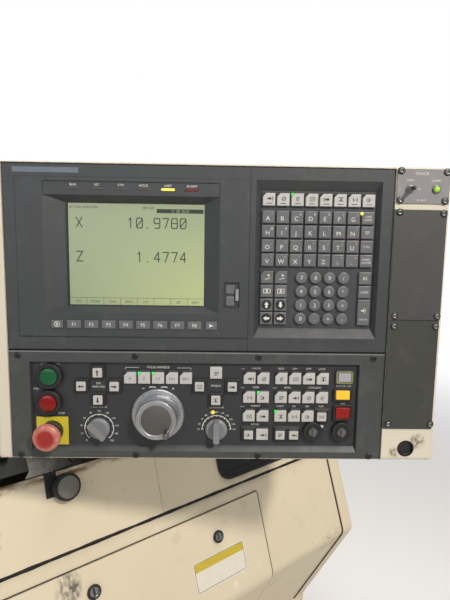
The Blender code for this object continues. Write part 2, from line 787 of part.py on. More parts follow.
def window_in(name, left, right, low, high, base, inward, parent=None):
    """A pane in a rubber rim: the rim is a raised frame, thinned to the pane in the middle."""
    half = RUNNING_GAP
    thickness = WINDOW_RIM_PROUD
    ring = soft_rectangle(left, right, on_slope(low, base), on_slope(high, base), WINDOW_RADIUS)
    pane = soft_rectangle(left + WINDOW_RIM / 2 + half, right - WINDOW_RIM / 2 - half,
                          on_slope(low, base) + WINDOW_RIM / 2 + half,
                          on_slope(high, base) - WINDOW_RIM / 2 - half, WINDOW_RADIUS - WINDOW_RIM / 2 - half)
    dish = soft_rectangle(left + WINDOW_RIM, right - WINDOW_RIM, on_slope(low, base) + WINDOW_RIM,
                          on_slope(high, base) - WINDOW_RIM, WINDOW_RADIUS / 2)
    window = sloped_panel(name, [ring], base, inward - thickness - SEAT_GAP, parent, thickness)
    inner = sloped_panel(name + "_pane", [pane], base, inward - thickness / 2, parent, thickness)
    hollow = sloped_panel(name + "_hollow", [dish], base, inward - thickness - CUT_OVERRUN, parent,
                          CUT_OVERRUN + thickness / 2)
    join(window, inner)
    cut(window, hollow)
    return finish(window, SMOKED)


def make_guard_window():
    return window_in("guard_window", WINDOW_LEFT, WINDOW_RIGHT, WINDOW_LOW, WINDOW_HIGH,
                     FOLD_HEIGHT + PANEL_GAP, 0)


def make_left_guard():
    """The fixed guard in front of the headstock, one layer behind the sliding door."""
    low, high = SILL_HEIGHT - SHEET - PANEL_GAP, ROOF_HEIGHT - PANEL_GAP
    outline = rectangle(-INNER_HALF + PANEL_GAP, OPENING_LEFT - PANEL_GAP, 0, on_slope(high, low))
    return finish(sloped_panel("left_guard", [outline], low, LEFT_GUARD_SETBACK), CREAM)


def door_span():
    width = OPENING_RIGHT - OPENING_LEFT + DOOR_OVERLAP
    left = OPENING_LEFT - DOOR_OVERLAP / 2 - DOOR_TRAVEL
    return left, min(left + width, OPENING_LEFT + width - DOOR_TRAVEL)


def make_door():
    """The sliding door, open to the left at rest: a panel with a window hole and a grab handle."""
    left, right = door_span()
    low = DOOR_LOW
    height = on_slope(DOOR_HIGH, low)
    outline = soft_rectangle(left, right, 0, height, DOOR_THICK)
    margin = DOOR_WINDOW_MARGIN + WINDOW_RIM / 2
    hole = soft_rectangle(left + margin, right - margin, margin, height - margin,
                          WINDOW_RADIUS - WINDOW_RIM / 2)
    door = sloped_panel("door", [outline, hole], low, DOOR_SETBACK, None, DOOR_THICK)
    grip_x = right - DOOR_WINDOW_MARGIN / 2
    half, middle = HANDLE_LENGTH / 2, height / 2
    bar = soft_rectangle(grip_x - HANDLE_WIDTH / 2, grip_x + HANDLE_WIDTH / 2, middle - half, middle + half,
                         HANDLE_WIDTH / 3)
    grip = sloped_panel("door_grip", [bar], low, DOOR_SETBACK - HANDLE_PROUD, None,
                        HANDLE_PROUD + DOOR_THICK / 2)
    gap = rectangle(grip_x - HANDLE_WIDTH, grip_x + HANDLE_WIDTH, middle - half + HANDLE_WIDTH,
                    middle + half - HANDLE_WIDTH)
    finger_gap = sloped_panel("finger_gap", [gap], low, DOOR_SETBACK - HANDLE_PROUD + HANDLE_BAR, None,
                              HANDLE_PROUD - HANDLE_BAR)
    join(door, grip)
    cut(door, finger_gap)
    return finish(door, CREAM)


def make_door_window():
    left, right = door_span()
    high = DOOR_LOW + (on_slope(DOOR_HIGH, DOOR_LOW) - DOOR_WINDOW_MARGIN) / TILT_GROWTH
    low = DOOR_LOW + DOOR_WINDOW_MARGIN / TILT_GROWTH
    return window_in("door_window", left + DOOR_WINDOW_MARGIN, right - DOOR_WINDOW_MARGIN, low, high,
                     DOOR_LOW, DOOR_SETBACK)


def make_door_rail():
    """The rail under the roof that carries the door, above its top edge."""
    top = DOOR_HIGH - DOOR_SETBACK * math.sin(LEAN_ANGLE) + SEAT_GAP
    y = front_y(DOOR_HIGH) + DOOR_SETBACK * math.cos(LEAN_ANGLE)
    rail = block("door_rail", (2 * INNER_HALF - PANEL_GAP * 2, RAIL_DEPTH, RAIL_HEIGHT),
                 (0, y, top + RAIL_HEIGHT / 2))
    return finish(rail, STEEL)


def make_door_bumper():
    """A round rubber stop on the sill, under the door's closing edge."""
    waist_low, waist_high = (BUMPER_LENGTH * share for share in BUMPER_WAIST_END_SHARES)
    profile = [(0, BUMPER_LENGTH), (BUMPER_RADIUS * BUMPER_EDGE_SHARE, BUMPER_LENGTH),
               (BUMPER_RADIUS, BUMPER_LENGTH * BUMPER_EDGE_SHARE), (BUMPER_RADIUS, waist_high),
               (BUMPER_RADIUS * BUMPER_WAIST_SHARE, waist_low),
               (BUMPER_RADIUS * BUMPER_FOOT_SHARE, 0), (0, 0)]
    place = (BUMPER_X, front_y(BUMPER_HEIGHT) - SEAT_GAP * math.cos(LEAN_ANGLE),
             BUMPER_HEIGHT + SEAT_GAP * math.sin(LEAN_ANGLE))
    return finish(turned("door_bumper", profile, place, FASTENER_TURN, steps=20), BLACK_RUBBER, smooth=True)


def make_roof():
    """The roof sheet, with a front edge that laps down over the guards."""
    front = front_y(ROOF_HEIGHT)
    top = ROOF_HEIGHT + SHEET * 2
    outline = [(front, ROOF_HEIGHT), (front, top), (REAR_DEPTH, top), (REAR_DEPTH, ROOF_HEIGHT)]
    roof = slab("roof", [outline], MACHINE_LENGTH, (0, 0, SEAT_GAP), ALONG_X)
    return finish(roof, CREAM_SHADE)


def make_rear_cover():
    """The back wall of the enclosure, from the casting up to the roof."""
    low, high = BASE_TOP_REAR, ROOF_HEIGHT - PANEL_GAP
    cover = block("rear_cover", (2 * INNER_HALF - 2 * PANEL_GAP, SHEET, high - low),
                  (0, REAR_DEPTH - SHEET / 2, (low + high) / 2))
    return finish(cover, CREAM_SHADE)


def bed_point(along, above):
    """A point (y, z): so far up the slope from the spindle's foot, so far above the bed's face."""
    s, c = math.sin(BED_SLANT), math.cos(BED_SLANT)
    drop = above - BED_DROP
    return (SPINDLE_Y + along * c - drop * s, SPINDLE_Z + along * s + drop * c)


def sloped_section(name, points, left, right, location=(0, 0, 0), parent=None):
    """A section drawn on the bed's slope and run along X, kept relative to an axis if one is given."""
    outline = [bed_point(*p) for p in points]
    outline = [(y - location[1], z - location[2]) for y, z in outline]
    middle = ((left + right) / 2, location[1], location[2])
    return slab(name, [outline], right - left, middle, ALONG_X, parent)


def make_base_casting():
    """The floor casting: low in front, then a slanted seat for the bed, with pockets in its rear wall."""
    bed_foot_y, bed_foot_z = bed_point(-BED_LOW, -BED_THICK)
    bed_head_y, bed_head_z = bed_point(BED_HIGH, -BED_THICK)
    rear = REAR_DEPTH - SHEET - SEAT_GAP
    shelf = BASE_TOP_FRONT - CASTING_WALL * 4
    outline = [(-BASE_FRONT, 0), (-BASE_FRONT, shelf), (bed_foot_y, shelf),
               (bed_foot_y, bed_foot_z - SEAT_GAP * 2), (bed_head_y, bed_head_z - SEAT_GAP * 2),
               (rear, bed_head_z - CASTING_WALL), (rear, 0)]
    base = slab("base_casting", [outline], 2 * INNER_HALF - 2 * SEAT_GAP, (0, 0, 0), ALONG_X)
    left, right = -INNER_HALF, INNER_HALF
    count = len(POCKET_SHARES)
    pitch = (right - left) / count
    for i, share in enumerate(POCKET_SHARES):
        centre = left + pitch * (i + 0.5)
        low, high = CASTING_WALL * 2, BASE_TOP_REAR - CASTING_WALL * 2
        pocket = block(f"rear_pocket_{i}", (pitch * share, CASTING_WALL * 4, high - low),
                       (centre, rear, (low + high) / 2))
        cut(base, pocket)
    return finish(base, CASTING_GREY)


def make_bed():
    """The slanted bed casting with its two hardened ways."""
    edge = WAY_WIDTH
    inner_low, inner_high = -BED_LOW + edge * 2, BED_HIGH - edge * 2
    points = [(-BED_LOW, -BED_THICK), (-BED_LOW, 0), (-BED_LOW + edge, 0), (-BED_LOW + edge, WAY_HEIGHT),
              (inner_low, WAY_HEIGHT), (inner_low, 0), (inner_high, 0), (inner_high, WAY_HEIGHT),
              (BED_HIGH - edge, WAY_HEIGHT), (BED_HIGH - edge, 0), (BED_HIGH, 0), (BED_HIGH, -BED_THICK)]
    return finish(sloped_section("bed", points, BED_LEFT, BED_RIGHT), STEEL)


def make_headstock():
    """The headstock casting, round-shouldered over the spindle, bored for it."""
    shoulder = HEAD_LOW * HEAD_SHOULDER_SHARE
    top = arc((0, BED_DROP), HEAD_LOW, 60, 120, 4)
    points = [(-HEAD_LOW, SEAT_GAP), (HEAD_HIGH, SEAT_GAP), (HEAD_HIGH, BED_DROP),
              *top, (-HEAD_LOW, BED_DROP + shoulder / 4)]
    head = sloped_section("headstock", points, HEAD_LEFT, HEAD_RIGHT)
    bore = rod("spindle_bore", SPINDLE_RADIUS + RUNNING_GAP, HEAD_RIGHT - HEAD_LEFT + CUT_OVERRUN * 2,
               ((HEAD_LEFT + HEAD_RIGHT) / 2, SPINDLE_Y, SPINDLE_Z), (0, math.pi / 2, 0), sides=32)
    cut(head, bore)
    return finish(head, CREAM_SHADE, smooth=True)


def spindle_point(x):
    return (x, SPINDLE_Y, SPINDLE_Z)


def make_spindle():
    """The hollow spindle: nose flange, shaft through the headstock, and drive pulley at the tail."""
    nose = HEAD_RIGHT + RUNNING_GAP
    tail = HEAD_LEFT - SPINDLE_TAIL
    length = nose + NOSE_LENGTH - tail
    inner = DRAW_RADIUS
    profile = [(inner, length), (NOSE_RADIUS, length), (NOSE_RADIUS, length - NOSE_LENGTH),
               (SPINDLE_RADIUS, length - NOSE_LENGTH), (SPINDLE_RADIUS, 0), (inner, 0), (inner, length)]
    spindle = turned("spindle", profile, spindle_point(tail), AXIS_RIGHT, steps=SPINDLE_SIDES)
    return finish(spindle, STEEL, smooth=True)


def chuck_start():
    return HEAD_RIGHT + RUNNING_GAP + NOSE_LENGTH + SEAT_GAP


def make_chuck_body():
    """The power chuck, with its through hole and a slot for each jaw."""
    length = CHUCK_LENGTH
    profile = [(DRAW_RADIUS, length), (CHUCK_RADIUS - CHUCK_CHAMFER, length),
               (CHUCK_RADIUS, length - CHUCK_CHAMFER),
               (CHUCK_RADIUS, CHUCK_CHAMFER), (CHUCK_RADIUS - CHUCK_CHAMFER, 0), (DRAW_RADIUS, 0),
               (DRAW_RADIUS, length)]
    chuck = turned("chuck_body", profile, spindle_point(chuck_start()), AXIS_RIGHT, steps=SPINDLE_SIDES)
    for i, angle in enumerate(JAW_ANGLES):
        reach = CHUCK_RADIUS + CUT_OVERRUN - DRAW_RADIUS / 2
        centre = DRAW_RADIUS / 2 + reach / 2
        size = (JAW_WIDTH * JAW_FOOT_SHARE + 2 * RUNNING_GAP, reach, JAW_ROOT + CUT_OVERRUN)
        place = (centre * math.cos(angle), centre * math.sin(angle),
                 length - JAW_ROOT / 2 + CUT_OVERRUN / 2)
        slot = block(f"jaw_slot_{i}", size, place, (0, 0, angle - math.pi / 2), parent=chuck)
        cut(chuck, slot)
    return finish(chuck, STEEL, smooth=True)


def make_jaw(index, angle):
    """A stepped jaw whose foot runs in the chuck's slot."""
    face = CHUCK_LENGTH + RUNNING_GAP
    foot_low = CHUCK_LENGTH - JAW_ROOT + RUNNING_GAP
    middle, outer = JAW_INNER + JAW_STEP, JAW_INNER + 2 * JAW_STEP
    high, low = (face + JAW_HEIGHT * share for share in JAW_STEP_SHARES)
    steps = [(JAW_INNER, face), (JAW_INNER, face + JAW_HEIGHT), (middle, face + JAW_HEIGHT), (middle, high),
             (outer, high), (outer, low), (JAW_INNER + JAW_LENGTH, low), (JAW_INNER + JAW_LENGTH, face)]
    rest = empty(f"jaw_{index}_axis", spindle_point(chuck_start()), AXIS_RIGHT)
    turn = empty(f"jaw_{index}_slide", (0, 0, 0), (0, 0, angle), rest)
    jaw = slab(f"jaw_{index}", [steps], JAW_WIDTH, (0, 0, 0), FACING_FRONT, turn)
    foot_height = JAW_ROOT + RUNNING_GAP
    foot = block(f"jaw_foot_{index}", (JAW_LENGTH - JAW_STEP / 2, JAW_WIDTH * JAW_FOOT_SHARE, foot_height),
                 (JAW_INNER + JAW_LENGTH / 2, 0, foot_low + foot_height / 2), parent=turn)
    join(jaw, foot)
    return finish(jaw, DARK_STEEL)


def make_carriage():
    """The saddle: it straddles both ways and carries the dovetail for the cross slide."""
    low, high = -BED_LOW + WAY_WIDTH, BED_HIGH - WAY_WIDTH
    foot = WAY_HEIGHT + RUNNING_GAP
    top = foot + CARRIAGE_THICK
    points = [(low, foot), (high, foot), (high, top), (high - WAY_WIDTH, top), (low + WAY_WIDTH, top),
              (low, top)]
    left, right = CARRIAGE_LEFT, CARRIAGE_LEFT + CARRIAGE_WIDTH
    saddle = sloped_section("carriage", points, left, right)
    guide_left = (left + right - GUIDE_WIDTH) / 2
    guide = sloped_section("cross_guide", [(low + WAY_WIDTH, top - WALL), (high - WALL, top - WALL),
                           (high - WALL, top + GUIDE_HEIGHT), (low + WAY_WIDTH, top + GUIDE_HEIGHT)],
                           guide_left, guide_left + GUIDE_WIDTH)
    join(saddle, guide)
    return finish(saddle, CASTING_GREY)


def cross_floor():
    return WAY_HEIGHT + RUNNING_GAP + CARRIAGE_THICK


def make_cross_slide():
    """The cross slide, grooved to sit over the saddle's guide, with the turret's housing on top."""
    low, high = CROSS_HOME, CROSS_HOME + CROSS_LENGTH
    foot = cross_floor() + RUNNING_GAP
    left, right = CARRIAGE_LEFT, CARRIAGE_LEFT + CARRIAGE_WIDTH
    points = [(low, foot), (high, foot), (high, foot + CROSS_THICK), (low, foot + CROSS_THICK)]
    slide = sloped_section("cross_slide", points, left, right)
    guide_left = (left + right - GUIDE_WIDTH) / 2
    groove = sloped_section("cross_groove", [(low - WALL, foot - WALL), (high + WALL, foot - WALL),
                            (high + WALL, foot + GUIDE_HEIGHT + RUNNING_GAP),
                            (low - WALL, foot + GUIDE_HEIGHT + RUNNING_GAP)],
                            guide_left - RUNNING_GAP, guide_left + GUIDE_WIDTH + RUNNING_GAP)
    cut(slide, groove)
    half = TURRET_BOX / 2
    box_low, box_high = TURRET_HOME - half, TURRET_HOME + half
    box_top = BED_DROP + half
    shoulder, chamfer = box_top * TURRET_SHOULDER_SHARE, half * TURRET_CHAMFER_SHARE
    root = foot + CROSS_THICK - WALL
    housing = sloped_section("turret_housing", [(box_low, root), (box_high, root), (box_high, shoulder),
                             (box_high - chamfer, box_top), (box_low + chamfer, box_top),
                             (box_low, shoulder)], left, right)
    join(slide, housing)
    return finish(slide, CASTING_GREY)


def turret_centre():
    y, z = bed_point(TURRET_HOME, BED_DROP)
    return (CARRIAGE_LEFT - RUNNING_GAP, y, z)


def make_turret():
    """The tool turret: a flat-sided disc with a tool block on every other flat."""
    outline = circle(TURRET_RADIUS, TURRET_SIDES)
    x, y, z = turret_centre()
    pivot = empty("turret_axis", (x, y, z), (math.pi / 2, 0, math.pi / 2))
    disc = slab("turret_disc", [outline], TURRET_THICK, (0, 0, -TURRET_THICK / 2), parent=pivot)
    rounded(disc, WALL / 2, 1)
    blocks = []
    for i in range(TOOL_COUNT):
        angle = 2 * math.pi * (i + 1 / 4) / TOOL_COUNT
        middle = TURRET_RADIUS + TOOL_PROUD / 2 - WALL
        size = (TOOL_PROUD + 2 * WALL, TOOL_BLOCK, TURRET_THICK * TOOL_BLOCK_SHARE)
        place = (middle * math.cos(angle), middle * math.sin(angle), -TURRET_THICK * TOOL_BLOCK_PLACE_SHARE)
        blocks.append(block(f"tool_block_{i}", size, place, (0, 0, angle), parent=pivot))
    join(disc, gather("tool_blocks", blocks))
    return finish(disc, STEEL)


def make_tailstock():
    """The tailstock casting: a foot across the ways, a neck and the quill's barrel."""
    left, right = TAIL_LEFT, TAIL_LEFT + TAIL_LENGTH
    foot = WAY_HEIGHT + RUNNING_GAP
    low, high = -BED_LOW + WAY_WIDTH, BED_HIGH - WAY_WIDTH
    barrel = arc((0, BED_DROP), TAIL_HALF, -30, 210, 10)
    points = [(low, foot), (high, foot), (high, foot + WAY_WIDTH), (TAIL_HALF, foot + WAY_WIDTH), *barrel,
              (-TAIL_HALF, foot + WAY_WIDTH), (low, foot + WAY_WIDTH)]
    tail = sloped_section("tailstock", points, left, right)
    bore = rod("quill_bore", QUILL_RADIUS + RUNNING_GAP, QUILL_REACH + CUT_OVERRUN,
               spindle_point(left + (QUILL_REACH - CUT_OVERRUN) / 2), AXIS_RIGHT, sides=24)
    cut(tail, bore)
    return finish(tail, CREAM_SHADE, smooth=True)


def make_quill():
    start = TAIL_LEFT - QUILL_PROUD
    length = QUILL_PROUD + QUILL_REACH - WALL
    bore_depth = CENTRE_POINT
    hole = CENTRE_RADIUS * CENTRE_SHANK_SHARE + RUNNING_GAP
    profile = [(0, length), (QUILL_RADIUS, length), (QUILL_RADIUS, WALL / 2), (QUILL_RADIUS - WALL / 2, 0),
               (hole, 0), (hole, bore_depth), (0, bore_depth)]
    return finish(turned("quill", profile, spindle_point(start), AXIS_RIGHT), STEEL, smooth=True)


def make_live_centre():
    """The live centre: a shank in the quill, a collar and a 60 degree point."""
    start = TAIL_LEFT - QUILL_PROUD
    shank = CENTRE_POINT - WALL
    collar = CENTRE_RADIUS * CENTRE_COLLAR_SHARE
    tip = CENTRE_RADIUS / math.tan(CENTRE_ANGLE / 2)
    radius = CENTRE_RADIUS * CENTRE_SHANK_SHARE
    profile = [(0, shank), (radius, shank), (radius, -RUNNING_GAP),
               (CENTRE_RADIUS, -RUNNING_GAP), (CENTRE_RADIUS, -collar), (0, -collar - tip)]
    return finish(turned("live_centre", profile, spindle_point(start), AXIS_RIGHT), STEEL, smooth=True)


def make_ball_screw():
    """The saddle's feed screw between the ways, with a bearing block on the bed at each end."""
    along = (BED_HIGH - BED_LOW) / 2
    left, right = HEAD_RIGHT + WAY_WIDTH, BED_RIGHT - WAY_WIDTH
    height = SCREW_BLOCK / 2
    y, z = bed_point(along, height)
    screw = rod("ball_screw", SCREW_RADIUS, right - left, ((left + right) / 2, y, z), AXIS_RIGHT, sides=16)
    half = SCREW_BLOCK / 2
    section = [(along - SCREW_BLOCK, SEAT_GAP), (along + SCREW_BLOCK, SEAT_GAP),
               (along + half, height + half), (along - half, height + half)]
    for end, x in (("left", left), ("right", right - SCREW_BLOCK_LENGTH)):
        join(screw, sloped_section(f"screw_bearing_{end}", section, x, x + SCREW_BLOCK_LENGTH))
    return finish(screw, STEEL, smooth=True)


def make_chip_tray():
    """The chip tray: an open trough under the cutting zone."""
    floor = BASE_TOP_FRONT - CASTING_WALL * 4 + SEAT_GAP
    foot_y, foot_z = bed_point(-BED_LOW, -BED_THICK)
    front = -BASE_FRONT + TRAY_WALL
    back = foot_y - PANEL_GAP
    w = TRAY_WALL
    top = TRAY_TOP
    lean_out = front - WALL * 3
    outline = [(front, floor), (lean_out, top), (lean_out + w, top), (front + w, floor + w),
               (back - w, floor + w),
               (back - w, top - CASTING_WALL), (back, top - CASTING_WALL), (back, floor)]
    tray = slab("chip_tray", [outline], 2 * INNER_HALF - 2 * PANEL_GAP, (0, 0, 0), ALONG_X)
    return finish(tray, DARK_STEEL)


def make_cabinet():
    """The electrical cabinet on the back: a box open to the rear, where its door closes it."""
    width, height = CABINET_RIGHT - CABINET_LEFT, CABINET_HIGH - CABINET_LOW
    start = REAR_DEPTH + SEAT_GAP
    middle = ((CABINET_LEFT + CABINET_RIGHT) / 2, start + CABINET_DEPTH / 2, (CABINET_LOW + CABINET_HIGH) / 2)
    cabinet = block("electrical_cabinet", (width, CABINET_DEPTH, height), middle)
    hollow = block("cabinet_hollow", (width - 2 * CABINET_WALL, CABINET_DEPTH, height - 2 * CABINET_WALL),
                   (middle[0], middle[1] + CABINET_WALL, middle[2]))
    cut(cabinet, hollow)
    return finish(cabinet, CREAM)


def cabinet_face():
    return REAR_DEPTH + SEAT_GAP + CABINET_DEPTH


def make_cabinet_door():
    """The cabinet door, hung on its left edge as seen from the front of the machine."""
    width, height = CABINET_RIGHT - CABINET_LEFT, CABINET_HIGH - CABINET_LOW
    hinge = (CABINET_LEFT, cabinet_face() + PANEL_GAP + DOOR_SHEET, (CABINET_LOW + CABINET_HIGH) / 2)
    pin = empty("cabinet_hinge", hinge)
    door = block("cabinet_door", (width, DOOR_SHEET, height), (width / 2, -DOOR_SHEET / 2, 0), parent=pin)
    hole = rod("switch_hole", SWITCH_STEM + RUNNING_GAP, DOOR_SHEET * 2,
               (width - SWITCH_IN, -DOOR_SHEET / 2, SWITCH_UP), FACING_FRONT, parent=pin, sides=16)
    cut(door, hole)
    return finish(door, CREAM)


def make_main_switch():
    """The red rotary isolator on the cabinet door: a round base, a grip bar and its stem."""
    width = CABINET_RIGHT - CABINET_LEFT
    x = CABINET_LEFT + width - SWITCH_IN
    y = cabinet_face() + PANEL_GAP + DOOR_SHEET
    z = (CABINET_LOW + CABINET_HIGH) / 2 + SWITCH_UP
    axis = empty("main_switch_axis", (x, y, z), (-math.pi / 2, 0, 0))
    profile = [(0, SWITCH_PROUD), (SWITCH_RADIUS - WALL / 2, SWITCH_PROUD),
               (SWITCH_RADIUS, SWITCH_PROUD - WALL / 2),
               (SWITCH_RADIUS, SEAT_GAP), (SWITCH_STEM, SEAT_GAP), (SWITCH_STEM, -DOOR_SHEET + WALL / 2),
               (0, -DOOR_SHEET + WALL / 2)]
    knob = turned("main_switch", profile, parent=axis)
    half = SWITCH_RADIUS * SWITCH_BAR_SHARE
    outline = soft_rectangle(-SWITCH_BAR / 2, SWITCH_BAR / 2, -half, half, SWITCH_BAR / 3)
    bar = slab("switch_bar", [outline], SWITCH_GRIP, (0, 0, SWITCH_PROUD + SWITCH_GRIP / 2 - WALL / 2),
               parent=axis)
    join(knob, bar)
    return finish(knob, ("A3261C", 0.4), smooth=True)


# The operator panel: a cream housing that swivels on the end of an arm.


swivel = empty("panel_swivel_axis", (PIVOT_X, PIVOT_Y, PANEL_CENTRE_HEIGHT), (0, 0, PANEL_TURN))
panel = empty("panel_front", (-PIVOT_SIDE, -PIVOT_BEHIND, 0), (0, 0, 0), swivel)


def at(x, down, proud=0.0):
    """A place on the panel's front, from its left and top edges; proud is towards the operator."""
    return (x - PANEL_WIDTH / 2, -proud, PANEL_HEIGHT / 2 - down)


def face_slab(name, outlines, x, down, back, front, parent=None):
    """A flat outline about (x, down), drawn out from one depth to another; both are proud heights."""
    return slab(name, outlines, front - back, at(x, down, (front + back) / 2), FACING_FRONT, parent or panel)


def face_block(name, left, right, top, bottom, back, front):
    return block(name, (right - left, front - back, bottom - top),
                 at((left + right) / 2, (top + bottom) / 2, (front + back) / 2), parent=panel)


def face_rod(name, x, down, radius, back, front, sides=20, tip_radius=None):
    """A round piece square to the panel, its tip towards the operator."""
    return rod(name, radius, front - back, at(x, down, (front + back) / 2), FACING_FRONT, panel,
               sides=sides, tip_radius=tip_radius)


def face_turned(name, profile, x, down, parent=None, steps=24):
    """A turned piece on the panel: its profile's height is how proud it stands."""
    return turned(name, profile, at(x, down), FACING_FRONT, parent or panel, steps=steps)


def tapered_hole(name, mouth, floor, depth):
    """A cutter whose mouth (left, right, top, bottom) narrows to its floor at a depth."""
    bm = bmesh.new()
    bmesh.ops.create_cube(bm, size=1)
    for vertex in bm.verts:
        at_floor = vertex.co.y > 0
        left, right, top, bottom = floor if at_floor else mouth
        proud = -depth if at_floor else 0
        x = right if vertex.co.x > 0 else left
        down = top if vertex.co.z > 0 else bottom
        vertex.co = at(x, down, proud)
    return mesh_object(name, bm, parent=panel)


# Housing, its hinge sleeve and its arm.


def make_housing():
    """The panel's case: one deep box, recessed in front for the fascias, with the hinge sleeve behind."""
    case = block("pendant_housing", (PANEL_WIDTH, PANEL_DEPTH + PANEL_LIP, PANEL_HEIGHT),
                 (0, (PANEL_DEPTH - PANEL_LIP) / 2, 0), parent=panel)
    rounded(case, PANEL_ROUND, 2)
    recess = face_block("fascia_recess", FACE_LEFT - SEAT_GAP, FACE_RIGHT + SEAT_GAP, FACE_TOP - SEAT_GAP,
                        FACE_BOTTOM + SEAT_GAP, -FASCIA_THICK - SEAT_GAP, CUT_OVERRUN)
    cut(case, recess)
    hole = face_rod("column_hole", *COLUMN_HOLE, COLUMN_HOLE_RADIUS, -COLUMN_HOLE_DEPTH, CUT_OVERRUN)
    cut(case, hole)
    sleeve = rod("hinge_sleeve", SLEEVE_RADIUS, SLEEVE_HEIGHT, parent=swivel)
    join(case, sleeve)
    reach = PIVOT_BEHIND - PANEL_DEPTH
    web = block("hinge_web", (SLEEVE_RADIUS * HINGE_WEB_SHARE, reach + WALL, SLEEVE_HEIGHT),
                (0, -reach / 2 - WALL / 2, 0), parent=swivel)
    join(case, web)
    bore = rod("hinge_bore", PIN_RADIUS + RUNNING_GAP, SLEEVE_HEIGHT + CUT_OVERRUN * 2, parent=swivel)
    cut(case, bore)
    return finish(case, PANEL_CREAM)


def make_arm():
    """The arm: a plate on the fixed guard, a square tube out to the panel, and the upright hinge pin."""
    top = PANEL_CENTRE_HEIGHT - SLEEVE_HEIGHT / 2 - RUNNING_GAP
    low = top - ARM_SIZE
    back = front_y(low) - CUT_OVERRUN
    front = PIVOT_Y - ARM_SIZE / 2
    arm = block("pendant_arm", (ARM_SIZE, back - front, ARM_SIZE),
                (PIVOT_X, (back + front) / 2, (low + top) / 2))
    plate_low = (low + top) / 2 - ARM_PLATE_LENGTH / 2
    plate = sloped_panel("arm_plate", [soft_rectangle(-ARM_PLATE_WIDTH / 2, ARM_PLATE_WIDTH / 2, 0,
                                                      ARM_PLATE_LENGTH,
                         WALL)], plate_low, -ARM_PLATE - SEAT_GAP, None, ARM_PLATE, PIVOT_X)
    join(arm, plate)
    pin_low = top - ARM_SIZE / 2
    pin_high = PANEL_CENTRE_HEIGHT + SLEEVE_HEIGHT / 2 + PIN_PROUD
    pin = rod("arm_pin", PIN_RADIUS, pin_high - pin_low, (PIVOT_X, PIVOT_Y, (pin_low + pin_high) / 2))
    join(arm, pin)
    return finish(arm, PANEL_CREAM)


def make_panel_rear_cover():
    """The screwed service cover on the back of the panel, beside the hinge."""
    width = PANEL_WIDTH / 2 + PIVOT_SIDE - SLEEVE_RADIUS - 2 * REAR_COVER_MARGIN
    height = PANEL_HEIGHT - 2 * REAR_COVER_MARGIN
    cover = slab("panel_rear_cover", [soft_rectangle(-width / 2, width / 2, -height / 2, height / 2, WALL)],
                 REAR_COVER_THICK, (-PANEL_WIDTH / 2 + REAR_COVER_MARGIN + width / 2,
                                    PANEL_DEPTH + SEAT_GAP + REAR_COVER_THICK / 2, 0), FACING_FRONT, panel)
    return finish(cover, PANEL_CREAM)


# Upper fascia: display on the left, keyboard on the right.


def make_upper_fascia():
    """The upper moulding, with a bevelled screen window, the lamp strip, soft keys and keyboard well."""
    fascia = face_block("upper_fascia", FACE_LEFT, FACE_RIGHT, FACE_TOP, SEAM_DOWN - SEAM_WIDTH / 2,
                        -FASCIA_THICK, 0)
    rounded(fascia, FASCIA_ROUND, 1)
    holes = [tapered_hole("screen_window", SCREEN_MOUTH, SCREEN_FLOOR, SCREEN_DEPTH),
             tapered_hole("keyboard_well", BOARD_MOUTH, BOARD_FLOOR, BOARD_DEPTH)]
    for hole in holes:
        cut(fascia, hole)
    left, right, top, bottom = SCREEN_FLOOR
    cut(fascia, face_block("screen_seat", left, right, top, bottom, -SCREEN_DEPTH - SCREEN_THICK - SEAT_GAP,
                           -SCREEN_DEPTH / 2))
    left, right, top, bottom = BOARD_FLOOR
    cut(fascia, face_block("keyboard_seat", left, right, top, bottom, -BOARD_DEPTH - BOARD_THICK - SEAT_GAP,
                           -BOARD_DEPTH / 2))
    left, right, top, bottom = LAMP_STRIP
    cut(fascia, face_block("lamp_strip", left, right, top, bottom, -LAMP_STRIP_DEPTH, CUT_OVERRUN))
    left, right, top, bottom = LATCH_WINDOW
    cut(fascia, face_block("latch_window", left, right, top, bottom, -LATCH_DEPTH, CUT_OVERRUN))
    keys = []
    middle = SOFT_KEY_TOP + SOFT_KEY_HEIGHT / 2
    for i in range(SOFT_KEY_COUNT):
        keys.append(flat_key("soft_key", SOFT_KEY_FIRST + SOFT_KEY_PITCH * i, middle, SOFT_KEY_WIDTH,
                             SOFT_KEY_HEIGHT, -WALL, KEY_PROUD))
    last = SOFT_KEY_FIRST + SOFT_KEY_PITCH * (SOFT_KEY_COUNT - 1)
    for x in (SOFT_KEY_FIRST - END_KEY_STEP, last + END_KEY_STEP):
        keys.append(flat_key("end_key", x, middle, END_KEY_WIDTH, SOFT_KEY_HEIGHT, -WALL, KEY_PROUD))
    join(fascia, gather("soft_keys", keys))
    return finish(fascia, FASCIA_GREY)


def flat_key(name, x, down, width, height, back, front):
    return face_block(name, x - width / 2, x + width / 2, down - height / 2, down + height / 2, back, front)


def corner_key(name, x, down, width, height, back, front):
    """A square key with its top left corner cut off."""
    half, tall = width / 2, height / 2
    nick = width / 4
    outline = [(-half, -tall), (half, -tall), (half, tall), (nick - half, tall), (-half, tall - nick)]
    return face_slab(name, [outline], x, down, back, front)


def make_screen():
    """The display glass on the floor of its window."""
    left, right, top, bottom = SCREEN_FLOOR
    glass = face_block("lcd_screen", left + SEAT_GAP, right - SEAT_GAP, top + SEAT_GAP, bottom - SEAT_GAP,
                       -SCREEN_DEPTH - SCREEN_THICK, -SCREEN_DEPTH)
    return finish(glass, ("A8B496", 0.3))


